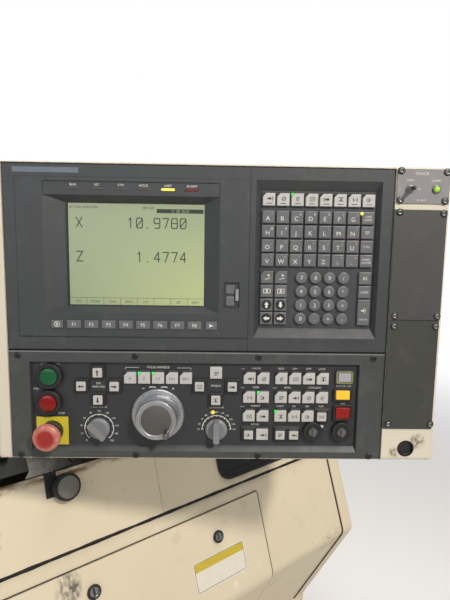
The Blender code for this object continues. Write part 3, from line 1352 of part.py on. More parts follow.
def make_side_latch():
    """The small catch beside the screen: a plate with two pads and a finger lever."""
    left, right, top, bottom = LATCH_WINDOW
    plate = face_block("side_latch", left + SEAT_GAP, right - SEAT_GAP, top + SEAT_GAP, bottom - SEAT_GAP,
                       -LATCH_DEPTH + SEAT_GAP, -LATCH_DEPTH / 2)
    width, height = right - left, bottom - top
    root = -LATCH_DEPTH * LATCH_ROOT_SHARE
    start, end = (left + width * share for share in LATCH_PAD_SIDE_SHARES)
    pads = [face_block("latch_pad", start, end, top + height * share,
                       top + height * (share + LATCH_PAD_TALL_SHARE), root, -LATCH_DEPTH / 4)
            for share in LATCH_PAD_SHARES]
    lever_left, lever_right, lever_top, lever_bottom = LATCH_LEVER_SHARES
    pads.append(face_block("latch_lever", left + width * lever_left, left + width * lever_right,
                           top + height * lever_top, top + height * lever_bottom, root, LATCH_DEPTH / 2))
    join(plate, gather("latch_pads", pads))
    return finish(plate, STEEL)


def make_keyboard():
    """The keyboard: one moulded plate with its rows of keys standing on it."""
    left, right, top, bottom = BOARD_FLOOR
    floor = -BOARD_DEPTH
    plate = face_block("keyboard_plate", left + SEAT_GAP, right - SEAT_GAP, top + SEAT_GAP, bottom - SEAT_GAP,
                       floor - BOARD_THICK, floor)
    back, front = floor - BOARD_THICK / 2, floor + BOARD_KEY_PROUD
    columns = [BOARD_FIRST + BOARD_PITCH * i for i in range(BOARD_COLUMNS)]
    keys = [corner_key("mode_key", x, MODE_ROW, BOARD_KEY, BOARD_KEY, back, front) for x in columns]
    for row in range(LETTER_ROWS):
        down = LETTER_ROW + BOARD_PITCH * row
        keys += [flat_key("letter_key", x, down, BOARD_KEY, BOARD_KEY, back, front) for x in columns]
    rows = [NUMBER_ROW + NUMBER_PITCH * row for row in range(NUMBER_ROWS)]
    for down in rows:
        keys += [flat_key("arrow_key", x, down, BOARD_KEY, BOARD_KEY, back, front)
                 for x in columns[:ARROW_COLUMNS]]
        keys += [face_rod("number_key", NUMBER_FIRST + BOARD_PITCH * i, down, ROUND_KEY, back, front,
                          ROUND_SIDES)
                 for i in range(NUMBER_COLUMNS)]
    last = columns[-1]
    keys += [flat_key("edit_key", last, down, BOARD_KEY, BOARD_KEY, back, front) for down in rows[:2]]
    tall = NUMBER_PITCH + BOARD_KEY
    keys.append(flat_key("write_key", last, (rows[2] + rows[3]) / 2, BOARD_KEY, tall, back, front))
    join(plate, gather("keyboard_keys", keys))
    return finish(plate, KEY_GREY)


# Lower fascia: buttons, keys, knobs and the handwheel.


def well(proud):
    """How proud of the panel's face something stands that is so proud of the well's floor."""
    return proud - WELL_DEPTH


def bezel_key(x, down):
    """A square bezel key: a raised frame with a lighter cap in its middle."""
    frame = flat_key("bezel", x, down, BEZEL_KEY, BEZEL_KEY, well(-WALL / 2), well(BEZEL_PROUD))
    cap = flat_key("cap", x, down, CAP_KEY, CAP_KEY, well(BEZEL_PROUD / 2), well(CAP_PROUD))
    join(frame, cap)
    return frame


def block_columns():
    return [BLOCK_FIRST + BLOCK_PITCH * i + (BLOCK_GAP if i > 1 else 0) for i in range(BLOCK_COLUMNS)]


def lower_keys():
    keys = []
    for centre, light_first in ((AXIS_KEYS_PLACE, False), (SPINDLE_KEYS_PLACE, True)):
        for i, (across, down) in enumerate(CROSS_KEY_SHARES):
            x, y = centre[0] + CROSS_PITCH * across, centre[1] + CROSS_PITCH * down
            if light_first and i == 0:
                keys.append(corner_key("light_key", x, y, LIGHT_KEY, LIGHT_KEY, well(-WALL / 2),
                                       well(BEZEL_PROUD)))
            else:
                keys.append(bezel_key(x, y))
    for i in range(PULSE_COUNT):
        keys.append(corner_key("pulse_key", PULSE_FIRST + PULSE_PITCH * i, PULSE_DOWN, LIGHT_KEY, LIGHT_KEY,
                               well(-WALL / 2), well(BEZEL_PROUD)))
    columns = block_columns()
    for row in range(BLOCK_ROWS):
        down = BLOCK_DOWN + BLOCK_STEP * row
        for i, x in enumerate(columns):
            if row == BLOCK_ROWS - 1 and i == BLOCK_COLUMNS - 1:
                keys.append(bezel_key(x, down))
            else:
                keys.append(corner_key("block_key", x, down, LIGHT_KEY, LIGHT_KEY, well(-WALL / 2),
                                       well(BEZEL_PROUD)))
    down = BLOCK_DOWN + BLOCK_STEP * BLOCK_ROWS
    keys.append(bezel_key(columns[0], down))
    keys.append(flat_key("plain_key", columns[1], down, LIGHT_KEY, LIGHT_KEY, well(-WALL / 2),
                         well(BEZEL_PROUD)))
    pair = (columns[2] + columns[3]) / 2
    double = flat_key("double_bezel", pair, down, BEZEL_KEY + BLOCK_PITCH - WALL / 2, BEZEL_KEY,
                      well(-WALL / 2),
                      well(BEZEL_PROUD))
    for x in (columns[2], columns[3]):
        join(double, flat_key("double_cap", x, down, CAP_KEY, CAP_KEY, well(BEZEL_PROUD / 2),
                              well(CAP_PROUD)))
    keys.append(double)
    return keys


def collar(x, down, outer, proud, sides=24):
    """The solid of a raised collar; the control's hole is cut through it afterwards."""
    profile = [(0, well(proud)), (outer - WALL / 4, well(proud)), (outer, well(proud) - WALL / 4),
               (outer, well(-WALL / 2)), (0, well(-WALL / 2))]
    return face_turned("collar", profile, x, down, steps=sides)


def frame_round(place, size):
    """The solid of a rectangular raised frame round a rectangular button."""
    width, height = size
    outer = soft_rectangle(-width / 2 - FRAME_RIM, width / 2 + FRAME_RIM, -height / 2 - FRAME_RIM,
                           height / 2 + FRAME_RIM, FRAME_RIM / 2, 1)
    return face_slab("button_frame", [outer], *place, well(-WALL / 2), well(BEZEL_PROUD))


def make_lower_fascia():
    """The lower moulding: a shallow well with every fixed bezel and key, and a hole for each control."""
    fascia = face_block("lower_fascia", FACE_LEFT, FACE_RIGHT, SEAM_DOWN + SEAM_WIDTH / 2, FACE_BOTTOM,
                        -FASCIA_THICK, 0)
    rounded(fascia, FASCIA_ROUND, 1)
    left, right, top, bottom = WELL
    inset = WELL_FLOOR_INSET
    cut(fascia, tapered_hole("well", WELL, (left + inset, right - inset, top + inset, bottom - WELL_BEVEL),
                             WELL_DEPTH))
    fixed = lower_keys()
    for x, down in (START_PLACE, STOP_PLACE):
        fixed.append(collar(x, down, BUTTON_COLLAR, COLLAR_PROUD))
    for x, down in KEY_SWITCH_PLACES:
        fixed.append(collar(x, down, SWITCH_BEZEL, SWITCH_BEZEL_PROUD))
    for place, size in ((RESET_PLACE, RESET_SIZE), (YELLOW_PLACE, YELLOW_SIZE), (RED_PLACE, RED_SIZE)):
        fixed.append(frame_round(place, size))
    join(fascia, gather("lower_fixed_pieces", fixed))
    holes = []
    deep = -FASCIA_THICK + WALL
    top = well(COLLAR_PROUD) + CUT_OVERRUN
    for x, down in (START_PLACE, STOP_PLACE):
        holes.append(face_rod("button_hole", x, down, BUTTON_RADIUS + RUNNING_GAP, deep, top))
    for x, down in KEY_SWITCH_PLACES:
        holes.append(face_rod("switch_hole", x, down, SWITCH_BARREL + RUNNING_GAP, deep, top))
    for x, down in (FEED_PLACE, OVERRIDE_PLACE):
        holes.append(face_rod("shaft_hole", x, down, KNOB_SHAFT + RUNNING_GAP, deep, top))
    holes.append(face_rod("wheel_hole", *WHEEL_PLACE, WHEEL_BOSS + SEAT_GAP * 2, deep, top))
    holes.append(face_rod("estop_hole", *ESTOP_PLACE, ESTOP_STEM + RUNNING_GAP, deep, top))
    gap = RUNNING_GAP
    for (x, down), (width, height) in ((RESET_PLACE, RESET_SIZE), (YELLOW_PLACE, YELLOW_SIZE),
                                       (RED_PLACE, RED_SIZE)):
        holes.append(flat_key("square_hole", x, down, width + 2 * gap, height + 2 * gap, deep, top))
    cut(fascia, gather("control_holes", holes))
    return finish(fascia, LOWER_GREY)


def push_button(name, place, colour):
    """A round lens that travels inside its collar."""
    root = -FASCIA_THICK + WALL + PUSH_TRAVEL + RUNNING_GAP
    top = well(BUTTON_PROUD)
    radius = BUTTON_RADIUS
    profile = [(0, top), (radius * BUTTON_CROWN_SHARE, top - WALL / 8), (radius, top - WALL / 3),
               (radius, root), (0, root)]
    button = face_turned(name, profile, *place)
    return finish(button, colour, smooth=True)


def square_button(name, place, size, colour):
    """A rectangular lit key that travels inside its frame."""
    root = -FASCIA_THICK + WALL + PUSH_TRAVEL + RUNNING_GAP
    button = flat_key(name, *place, *size, root, well(BEZEL_PROUD + PUSH_TRAVEL / 2))
    rounded(button, WALL / 8, 1)
    return finish(button, colour)


def make_estop_plate():
    """The square yellow backing plate, with the stop button's black collar standing on it."""
    width, height = ESTOP_PLATE
    plate = face_slab("estop_plate", [rectangle(-width / 2, width / 2, -height / 2, height / 2)],
                      *ESTOP_PLACE, well(SEAT_GAP), well(SEAT_GAP + ESTOP_PLATE_THICK))
    ring = face_rod("estop_collar", *ESTOP_PLACE, ESTOP_COLLAR, well(SEAT_GAP + ESTOP_PLATE_THICK / 2),
                    well(ESTOP_COLLAR_PROUD), tip_radius=ESTOP_COLLAR * ESTOP_COLLAR_TIP_SHARE)
    join(plate, ring)
    hole = face_rod("estop_bore", *ESTOP_PLACE, ESTOP_STEM + RUNNING_GAP, well(-WALL), well(ESTOP_PROUD))
    cut(plate, hole)
    return finish(plate, ("B9A93A", 0.5))


def make_estop_head():
    """The mushroom head on its stem, dished in the middle."""
    front = well(ESTOP_PROUD)
    back = front - ESTOP_HEAD
    root = -FASCIA_THICK + WALL + ESTOP_TRAVEL + RUNNING_GAP
    r = ESTOP_RADIUS
    dish, rise, shoulder = (r * share for share in ESTOP_DISH_SHARES)
    profile = [(0, front - WALL / 8), (dish, front - WALL / 10), (rise, front), (shoulder, front - WALL / 5),
               (r, front - WALL * ESTOP_EDGE_SHARE), (r, back + WALL / 3), (r * ESTOP_BACK_SHARE, back),
               (ESTOP_STEM, back), (ESTOP_STEM, root), (0, root)]
    return finish(face_turned("estop_head", profile, *ESTOP_PLACE), ("A52A20", 0.45), smooth=True)


def bar_knob(name, place, turn, proud, colour):
    """A pointer knob: a round skirt, a straight grip across it and a shaft behind."""
    x, down = place
    axis = empty(name + "_axis", at(x, down), (0, turn, 0), panel)
    floor = well(RUNNING_GAP)
    top = well(KNOB_BASE)
    root = -FASCIA_THICK + WALL + RUNNING_GAP
    profile = [(0, top), (KNOB_RADIUS * KNOB_CROWN_SHARE, top), (KNOB_RADIUS, top - WALL / 3),
               (KNOB_RADIUS, floor), (KNOB_SHAFT, floor), (KNOB_SHAFT, root), (0, root)]
    knob = turned(name, profile, (0, 0, 0), FACING_FRONT, axis)
    low, high = (KNOB_RADIUS * share for share in KNOB_BAR_END_SHARES)
    outline = soft_rectangle(-KNOB_BAR / 2, KNOB_BAR / 2, low, high, KNOB_BAR / 3)
    bar = slab(name + "_bar", [outline], well(proud) - top + WALL / 4,
               (0, -(well(proud) + top - WALL / 4) / 2, 0), FACING_FRONT, axis)
    rounded(bar, WALL / 6, 1)
    join(knob, bar)
    return finish(knob, colour, smooth=True)


def make_handwheel_base():
    """The pulse handwheel's flange, sunk into the fascia by its boss and bored for the wheel's shaft."""
    floor = well(SEAT_GAP)
    step, face = well(WHEEL_FLANGE_PROUD), well(WHEEL_BOSS_PROUD)
    root = -FASCIA_THICK + WALL + SEAT_GAP
    bore = WHEEL_SHAFT + RUNNING_GAP
    profile = [(bore, face), (WHEEL_BOSS, face), (WHEEL_BOSS + WALL / 3, step),
               (WHEEL_FLANGE - WALL / 4, step), (WHEEL_FLANGE, step - WALL / 4), (WHEEL_FLANGE, floor),
               (WHEEL_BOSS, floor), (WHEEL_BOSS, root), (bore, root), (bore, face)]
    return finish(face_turned("handwheel_base", profile, *WHEEL_PLACE, steps=32), STEEL, smooth=True)


def make_handwheel():
    """The fluted handwheel with its raised rim, flat grey centre and shaft."""
    low, rim = well(WHEEL_LOW), well(WHEEL_PROUD)
    root = -FASCIA_THICK + WALL + RUNNING_GAP * 2
    profile = [(0, rim - WALL / 6), (WHEEL_RIM, rim - WALL / 6), (WHEEL_RIM + WALL / 6, rim),
               (WHEEL_RADIUS - WALL / 4, rim), (WHEEL_RADIUS, rim - WALL / 3),
               (WHEEL_RADIUS, low + WALL / 3), (WHEEL_RADIUS - WALL / 4, low),
               (WHEEL_SHAFT, low), (WHEEL_SHAFT, root), (0, root)]
    wheel = face_turned("handwheel", profile, *WHEEL_PLACE, steps=40)
    hole = rod("crank_hole", CRANK_PIN + RUNNING_GAP, WALL, crank_place(well(WHEEL_PROUD)), FACING_FRONT,
               panel, sides=12)
    cut(wheel, hole)
    return finish(wheel, ("9A9C9E", 0.4, 0.6), smooth=True)


def crank_place(proud):
    x, down = WHEEL_PLACE
    return at(x + CRANK_ORBIT * math.cos(CRANK_ANGLE), down - CRANK_ORBIT * math.sin(CRANK_ANGLE), proud)


def make_crank_knob():
    """The small spinner on the handwheel's rim."""
    foot = RUNNING_GAP
    r = CRANK_RADIUS
    tip, waist, base = (r * share for share in CRANK_WAIST_SHARES)
    high, low = (foot + CRANK_LENGTH * share for share in CRANK_ALONG_SHARES)
    profile = [(0, foot + CRANK_LENGTH), (tip, foot + CRANK_LENGTH), (r, high), (waist, low), (base, foot),
               (CRANK_PIN, foot), (CRANK_PIN, -WALL / 3), (0, -WALL / 3)]
    knob = turned("crank_knob", profile, crank_place(well(WHEEL_PROUD)), FACING_FRONT, panel, steps=14)
    return finish(knob, BLACK, smooth=True)


def make_key_switch(number, place):
    """A lock barrel turning in its bezel, with a raised bar across its face."""
    axis = empty(f"key_switch_{number}_axis", at(*place), (0, 0, 0), panel)
    top = well(SWITCH_BEZEL_PROUD + WALL / 6)
    root = -FASCIA_THICK + WALL + RUNNING_GAP
    r = SWITCH_BARREL
    profile = [(0, top), (r * BARREL_FACE_SHARE, top), (r, top - WALL / 8), (r, root), (0, root)]
    barrel = turned(f"key_switch_{number}", profile, (0, 0, 0), FACING_FRONT, axis, steps=20)
    bar = block(f"key_bar_{number}", (KEY_BLADE[0], KEY_BLADE_PROUD, KEY_BLADE[1]),
                (0, -top - KEY_BLADE_PROUD / 2 + WALL / 4, 0), parent=axis)
    join(barrel, bar)
    return finish(barrel, BLACK, smooth=True)


# The cream column right of the fascias, with its three cover plates.


def make_column_plate(name, bounds, colour):
    """A sheet cover plate; the top one carries a toggle and a lamp."""
    left, right, top, bottom = bounds
    back = PANEL_LIP + SEAT_GAP
    front = back + PLATE_THICK
    plate = face_block(name, left, right, top, bottom, back, front)
    if TOGGLE_PLACE[1] < bottom and TOGGLE_PLACE[1] > top:
        root = front - PLATE_THICK / 2
        small = [face_rod("toggle", *TOGGLE_PLACE, TOGGLE_RADIUS, root, front + TOGGLE_PROUD, 12,
                          TOGGLE_RADIUS / 2),
                 face_rod("lamp", *LAMP_PLACE, LAMP_RADIUS, root, front + LAMP_PROUD, 12)]
        join(plate, gather("plate_fittings", small))
    return finish(plate, colour)


def make_machine():
    make_base_casting()
    make_bed()
    make_headstock()
    make_spindle()
    make_chuck_body()
    for number, angle in enumerate(JAW_ANGLES, 1):
        make_jaw(number, angle)
    make_carriage()
    make_cross_slide()
    make_turret()
    make_tailstock()
    make_quill()
    make_live_centre()
    make_ball_screw()
    make_chip_tray()


def make_enclosure():
    make_front_apron()
    make_access_cover()
    for number, (x, height) in enumerate(QUARTER_TURN_PLACES, 1):
        make_quarter_turn(number, x, height)
    make_end_cap("left_end_cap", -1)
    make_end_cap("right_end_cap", 1)
    make_front_sill()
    make_right_guard()
    make_guard_window()
    make_left_guard()
    make_door()
    make_door_window()
    make_door_rail()
    make_door_bumper()
    make_roof()
    make_rear_cover()
    make_cabinet()
    make_cabinet_door()
    make_main_switch()


def make_panel():
    make_arm()
    make_housing()
    make_panel_rear_cover()
    make_upper_fascia()
    make_screen()
    make_side_latch()
    make_keyboard()
    make_lower_fascia()
    push_button("start_button", START_PLACE, ("05562B", 0.3))
    push_button("feed_hold_button", STOP_PLACE, ("85150B", 0.3))
    make_estop_plate()
    make_estop_head()
    bar_knob("feed_knob", FEED_PLACE, FEED_TURN, KNOB_PROUD, ("8A8C8E", 0.5))
    bar_knob("override_knob", OVERRIDE_PLACE, 0, KNOB_PROUD, ("8A8C8E", 0.5))
    make_handwheel_base()
    make_handwheel()
    make_crank_knob()
    for number, place in enumerate(KEY_SWITCH_PLACES, 1):
        make_key_switch(number, place)
    square_button("reset_key", RESET_PLACE, RESET_SIZE, ("C9C6B8", 0.5))
    square_button("yellow_button", YELLOW_PLACE, YELLOW_SIZE, ("E8C21C", 0.4))
    square_button("red_button", RED_PLACE, RED_SIZE, ("A01A12", 0.4))
    for name, bounds, colour in PLATES:
        make_column_plate(name, bounds, colour)


make_machine()
make_enclosure()
make_panel()
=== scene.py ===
"""Looks of a cnc turning lathe: an operator panel in front of the machine's open enclosure.
Shapes are worked out in millimetres and become metres in piece(); places in the machine's frame are in metres."""

import math

import bpy
import numpy as np
from mathutils import Euler, Matrix, Vector


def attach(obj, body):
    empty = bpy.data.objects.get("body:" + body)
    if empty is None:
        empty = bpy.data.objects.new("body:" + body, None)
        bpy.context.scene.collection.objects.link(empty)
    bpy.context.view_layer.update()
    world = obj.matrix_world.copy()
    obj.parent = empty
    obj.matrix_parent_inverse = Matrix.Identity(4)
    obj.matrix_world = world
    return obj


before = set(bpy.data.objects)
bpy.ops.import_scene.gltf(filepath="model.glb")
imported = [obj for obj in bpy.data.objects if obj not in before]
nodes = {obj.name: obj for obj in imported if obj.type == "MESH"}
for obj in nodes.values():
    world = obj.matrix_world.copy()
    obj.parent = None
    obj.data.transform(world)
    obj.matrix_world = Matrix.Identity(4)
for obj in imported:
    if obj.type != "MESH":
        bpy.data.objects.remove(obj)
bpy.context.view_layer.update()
MM = 0.001

# The photograph's camera: where it stands and how it is turned, in the machine's frame.
CAMERA_PLACE = (-0.053, -1.497, 1.500)
CAMERA_TURN = (83.083, -0.852, -39.05)
CAMERA_LENS = 28.2

# The panel's own frame: x to the right, y up and z towards the operator, from its front's top left corner.
PANEL_TURN = math.radians(-38)
PANEL_PIVOT = Vector((0.57, -0.8354, 1.388))
PANEL_BEHIND = 0.20
PANEL_SIDE = 0.078
PANEL_SIZE = (0.683, 0.454)


def panel_frame():
    """The matrix from the panel's own frame to the machine's."""
    turn = Matrix.Rotation(PANEL_TURN, 4, "Z") @ Matrix.Rotation(math.radians(90), 4, "X")
    corner = Vector((-PANEL_SIDE - PANEL_SIZE[0] / 2, PANEL_SIZE[1] / 2, PANEL_BEHIND))
    return Matrix.Translation(PANEL_PIVOT) @ turn @ Matrix.Translation(corner)


ON_PANEL = panel_frame()


def linear(colour):
    """A six-figure sRGB hex colour as linear red, green, blue and alpha."""
    parts = [int(colour[i:i + 2], 16) / 255 for i in (0, 2, 4)]
    return [c / 12.92 if c <= 0.04045 else ((c + 0.055) / 1.055) ** 2.4 for c in parts] + [1.0]


def wire(tree, source, socket):
    """Links a socket to an output, or to a node's first output."""
    tree.links.new(source.outputs[0] if isinstance(source, bpy.types.Node) else source, socket)


def add(tree, kind, sockets, **settings):
    """Adds one node: its own settings, then each socket's value, sRGB colour or link."""
    made = tree.nodes.new("ShaderNode" + kind)
    for key, value in settings.items():
        setattr(made, key, value)
    for key, value in sockets.items():
        if isinstance(value, (bpy.types.Node, bpy.types.NodeSocket)):
            wire(tree, value, made.inputs[key])
        else:
            made.inputs[key].default_value = linear(value) if isinstance(value, str) else value
    return made


def link_object(name, data):
    """A new object in the scene, at the origin."""
    made = bpy.data.objects.new(name, data)
    bpy.context.scene.collection.objects.link(made)
    return made


def outline(width, height, corner, nick=0.0, steps=5):
    """A closed outline (n, 2), anticlockwise: quarter circles of radius corner joined by straight sides.
    With a nick, the top left quarter is a straight cut of that size instead."""
    parts = []
    for quarter, (side, end) in enumerate(((1, 1), (-1, 1), (-1, -1), (1, -1))):
        angle = (quarter + np.linspace(0, 1, steps)) * math.pi / 2
        arc = np.stack([np.cos(angle), np.sin(angle)], 1) * corner
        arc += ((width / 2 - corner) * side, (height / 2 - corner) * end)
        if nick and quarter == 1:
            share = np.linspace(0, 1, steps)[:, None]
            arc = (1 - share) * (nick - width / 2, height / 2) + share * (-width / 2, height / 2 - nick)
        parts.append(arc)
    return np.concatenate(parts)


def stack(rings):
    """Vertices and faces of rings (m, n, 3): quads join each ring to the next, and both ends are filled."""
    rings = np.asarray(rings, float)
    m, n = rings.shape[:2]
    ring, point = np.meshgrid(np.arange(m - 1), np.arange(n), indexing="ij")
    after = (point + 1) % n
    quads = np.stack([ring * n + point, ring * n + after, (ring + 1) * n + after, (ring + 1) * n + point], -1)
    faces = quads.reshape(-1, 4).tolist()
    faces += [list(range(n))[::-1], list(range((m - 1) * n, m * n))]
    return rings.reshape(-1, 3), faces


def extruded(section, left, right):
    """A section of (y, z) rows carried straight along x from left to right, filled at both ends."""
    section = np.array(section, float)
    return stack([np.column_stack([np.full(len(section), x), section]) for x in (left, right)])


def cap(width, height, corner, profile, nick=0.0, steps=5):
    """A key cap: each row (inset, level) of the profile is the outline drawn in by inset, at that level."""
    rings = []
    for inset, level in profile:
        edge = outline(width - 2 * inset, height - 2 * inset, max(corner - inset, corner * 0.3),
                       max(nick - inset * 0.6, 0), steps)
        rings.append(np.column_stack([edge, np.full(len(edge), level)]))
    return stack(rings)


def dished(floor, top, *drops):
    """A key's profile: up from its floor, then rows of (inset, drop), each drop measured down from its top."""
    return [(0, floor)] + [(inset, top - drop) for inset, drop in drops]


def turned(profile, steps=32):
    """A turned piece: each row (radius, level) of the profile becomes a circle of that radius round z."""
    angle = np.arange(steps) / steps * math.tau
    rows = np.array(profile, float)
    circles = np.stack([np.outer(rows[:, 0], np.cos(angle)), np.outer(rows[:, 0], np.sin(angle)),
                        np.repeat(rows[:, 1:], steps, 1)], -1)
    return stack(circles)


def rim(path, section):
    """A closed strip carried round a closed path (n, 2): each point of the section is (out, level),
    set off along the path's own normal."""
    ahead = np.roll(path, -1, 0) - np.roll(path, 1, 0)
    ahead /= np.linalg.norm(ahead, axis=1)[:, None]
    normal = np.stack([ahead[:, 1], -ahead[:, 0]], 1)
    section = np.array(section, float)
    flat = path[:, None] + normal[:, None] * section[None, :, :1]
    level = np.broadcast_to(section[None, :, 1:], flat.shape[:2] + (1,))
    points = np.concatenate([flat, level], -1)
    n, m = points.shape[:2]
    along, around = np.meshgrid(np.arange(n), np.arange(m), indexing="ij")
    further, next_up = (along + 1) % n, (around + 1) % m
    quads = np.stack([along * m + around, further * m + around, further * m + next_up, along * m + next_up], -1)
    return points.reshape(-1, 3), quads.reshape(-1, 4).tolist()


def moved(part, x=0.0, y=0.0, z=0.0, turn=0.0):
    """The part turned about z and then set off."""
    points, faces = part
    c, s = math.cos(turn), math.sin(turn)
    return points @ np.array([[c, s, 0], [-s, c, 0], [0, 0, 1]]) + (x, y, z), faces


def plate(width, height, low, high):
    """A thin plate with its top edge broken by a third of its thickness."""
    edge = (high - low) / 3
    return cap(width, height, 0.4, [(0, low), (0, high - edge), (edge, high)], steps=3)


def on_panel(part, x, down, proud=0.0, turn=0.0):
    """The part set on the panel's front, from its left and top edges."""
    return moved(part, x, -down, proud, turn)


def set_on_panel(parts, x, down):
    """Several parts set on the panel's front at one place."""
    return [on_panel(part, x, down) for part in parts]


def copies(part, places, proud=0.0):
    """The part set on the panel's front at each place (x, down)."""
    return [on_panel(part, x, down, proud) for x, down in places]


def grid(columns, rows):
    """The places (x, down) where columns and rows cross, row by row."""
    return [(x, down) for down in rows for x in columns]


SHARP_FROM = math.radians(35)


def piece(name, parts, material, body="panel", place=ON_PANEL):
    """One object from several parts in millimetres: their points are joined, put in place by a matrix and given
    faces in one go. It lies on the panel unless another body and place are named."""
    points, faces, count = [], [], 0
    for part_points, part_faces in parts:
        points.append(part_points)
        faces += [[i + count for i in face] for face in part_faces]
        count += len(part_points)
    matrix = np.array(place)
    points = np.concatenate(points) * MM @ matrix[:3, :3].T + matrix[:3, 3]
    mesh = bpy.data.meshes.new(name)
    mesh.from_pydata(points.tolist(), [], faces)
    mesh.update()
    mesh.shade_smooth()
    mesh.set_sharp_from_angle(angle=SHARP_FROM)
    mesh.materials.append(material)
    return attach(link_object(name, mesh), body)


LETTER_SHARE = 0.7


def lettering(name, level, rows, material, resolution=3):
    """Printed letters on the panel as flat meshes, at one level. Each row is (text, x, down, height) and may end
    with an alignment. A font's capitals take up the letter share of its size."""
    parts = []
    for text, x, down, height, *align in rows:
        curve = bpy.data.curves.new(name, "FONT")
        curve.body = text
        curve.size = height * MM / LETTER_SHARE
        curve.align_x = align[0] if align else "CENTER"
        curve.resolution_u = resolution
        written = link_object(name, curve)
        bpy.context.view_layer.update()
        mesh = bpy.data.meshes.new_from_object(written.evaluated_get(bpy.context.evaluated_depsgraph_get()))
        points = np.zeros(len(mesh.vertices) * 3)
        mesh.vertices.foreach_get("co", points)
        faces = [list(face.vertices) for face in mesh.polygons]
        parts.append((points.reshape(-1, 3) / MM + (x, -down - height / 2, level), faces))
        bpy.data.objects.remove(written)
        bpy.data.curves.remove(curve)
        bpy.data.meshes.remove(mesh)
    return piece(name, parts, material)


def mottling(tree, place, size_mm, low, high, detail=4.0, stretch=(1, 1, 1)):
    """A slow change from low to high over the surface, in patches of about the given size."""
    scaled = add(tree, "Mapping", {"Vector": place, "Scale": stretch})
    noise = add(tree, "TexNoise", {"Vector": scaled, "Scale": 1 / (size_mm * MM), "Detail": detail, "Roughness": 0.55})
    return add(tree, "MapRange", {"Value": noise, "From Min": 0.3, "From Max": 0.7, "To Min": low, "To Max": high})


def overlay(tree, share, colour):
    """Lays a colour over the shader's base colour so far: none of it where the share is 0, all where it is 1."""
    base = tree.nodes["Principled BSDF"].inputs["Base Color"]
    mixed = add(tree, "Mix", {0: share, 6: base.links[0].from_socket, 7: colour}, data_type="RGBA")
    wire(tree, mixed.outputs[2], base)


def edge_wear(tree, radius_mm, start, end):
    """0 on flat stretches and 1 on edges: how far a rounded-off normal departs from the true one."""
    soft = add(tree, "Bevel", {"Radius": radius_mm * MM}, samples=4)
    true = add(tree, "NewGeometry", {})
    match = add(tree, "VectorMath", {0: soft, 1: true.outputs["True Normal"]}, operation="DOT_PRODUCT")
    return add(tree, "MapRange", {"Value": match.outputs["Value"], "From Min": start, "From Max": end})


def panel_place(tree, place, corner=(0, 0, 0)):
    """A surface point's place in the panel's own frame, counted from a corner in metres."""
    return add(tree, "Mapping", {"Vector": place, "Location": ON_PANEL @ Vector(corner),
                                 "Rotation": ON_PANEL.to_euler()}, vector_type="TEXTURE")


def finish(name, colour, patch_colour, roughness, metallic=0.0, ior=1.5, grain_mm=0.8, grain_depth_mm=0.02,
           patch_mm=90, gloss_change=0.06, rounding_mm=0.5, stretch=(1, 1, 1)):
    """The common ground of each finish: a colour with slow patches, a gloss that changes a little, a fine grain
    as relief and edges that are broken rather than knife-sharp. Returns what a special finish adds to."""
    material = bpy.data.materials.new(name)
    material.use_nodes = True
    tree = material.node_tree
    shader = tree.nodes["Principled BSDF"]
    place = add(tree, "TexCoord", {}).outputs["Object"]
    patches = mottling(tree, place, patch_mm, 0.0, 0.5)
    body = add(tree, "Mix", {0: patches, 6: colour, 7: patch_colour}, data_type="RGBA")
    gloss = mottling(tree, place, patch_mm / 3, roughness - gloss_change, roughness + gloss_change, 6)
    scaled = add(tree, "Mapping", {"Vector": place, "Scale": stretch})
    grain = add(tree, "TexNoise", {"Vector": scaled, "Scale": 1 / (grain_mm * MM), "Detail": 2.0})
    soft = add(tree, "Bevel", {"Radius": rounding_mm * MM}, samples=4)
    relief = add(tree, "Bump", {"Height": grain, "Distance": grain_depth_mm * MM, "Strength": 1.0, "Normal": soft})
    for socket, source in (("Base Color", body.outputs[2]), ("Roughness", gloss), ("Normal", relief)):
        wire(tree, source, shader.inputs[socket])
    shader.inputs["Metallic"].default_value = metallic
    if not metallic:
        shader.inputs["IOR"].default_value = ior
    return material, tree, place


def spot(tree, place, middle, reach, grain_mm, most, stretch=(1, 1, 1)):
    """1 in the middle of an egg-shaped spot and 0 outside it, broken up by a noise of the given grain."""
    away = add(tree, "VectorMath", {0: place, 1: middle}, operation="SUBTRACT")
    scaled = add(tree, "VectorMath", {0: away, 1: reach}, operation="DIVIDE")
    distance = add(tree, "VectorMath", {0: scaled}, operation="LENGTH").outputs["Value"]
    inside = add(tree, "MapRange", {"Value": distance, "From Min": 1.0, "From Max": 0.35},
                 interpolation_type="SMOOTHSTEP")
    broken = mottling(tree, place, grain_mm, most - 1.5, most, 8, stretch)
    return add(tree, "Math", {0: inside, 1: broken}, operation="MULTIPLY", use_clamp=True)


def enamel(name, colour, patch_colour, dirt, primer, dirt_mm=70, chip_mm=14, most_chipped=0.9, grain_mm=2.2,
           rounding_mm=1.4, marks=()):
    """Two-part enamel sprayed on sheet steel: orange peel, a breath of hand grime, edges chipped to the brown
    primer, and any marks: spots of another colour, each with what spot() needs."""
    material, tree, place = finish(name, colour, patch_colour, 0.36, ior=1.52, grain_mm=grain_mm,
                                   grain_depth_mm=0.03, patch_mm=240, rounding_mm=rounding_mm)
    overlay(tree, mottling(tree, place, dirt_mm, -0.5, 0.16, 8), dirt)
    for mark_colour, *shape in marks:
        overlay(tree, spot(tree, place, *shape), mark_colour)
    wear = edge_wear(tree, 1.5, 0.97, 0.80)
    broken = mottling(tree, place, chip_mm, -1.1, most_chipped, 6)
    overlay(tree, add(tree, "Math", {0: wear, 1: broken}, operation="MULTIPLY", use_clamp=True), primer)
    return material


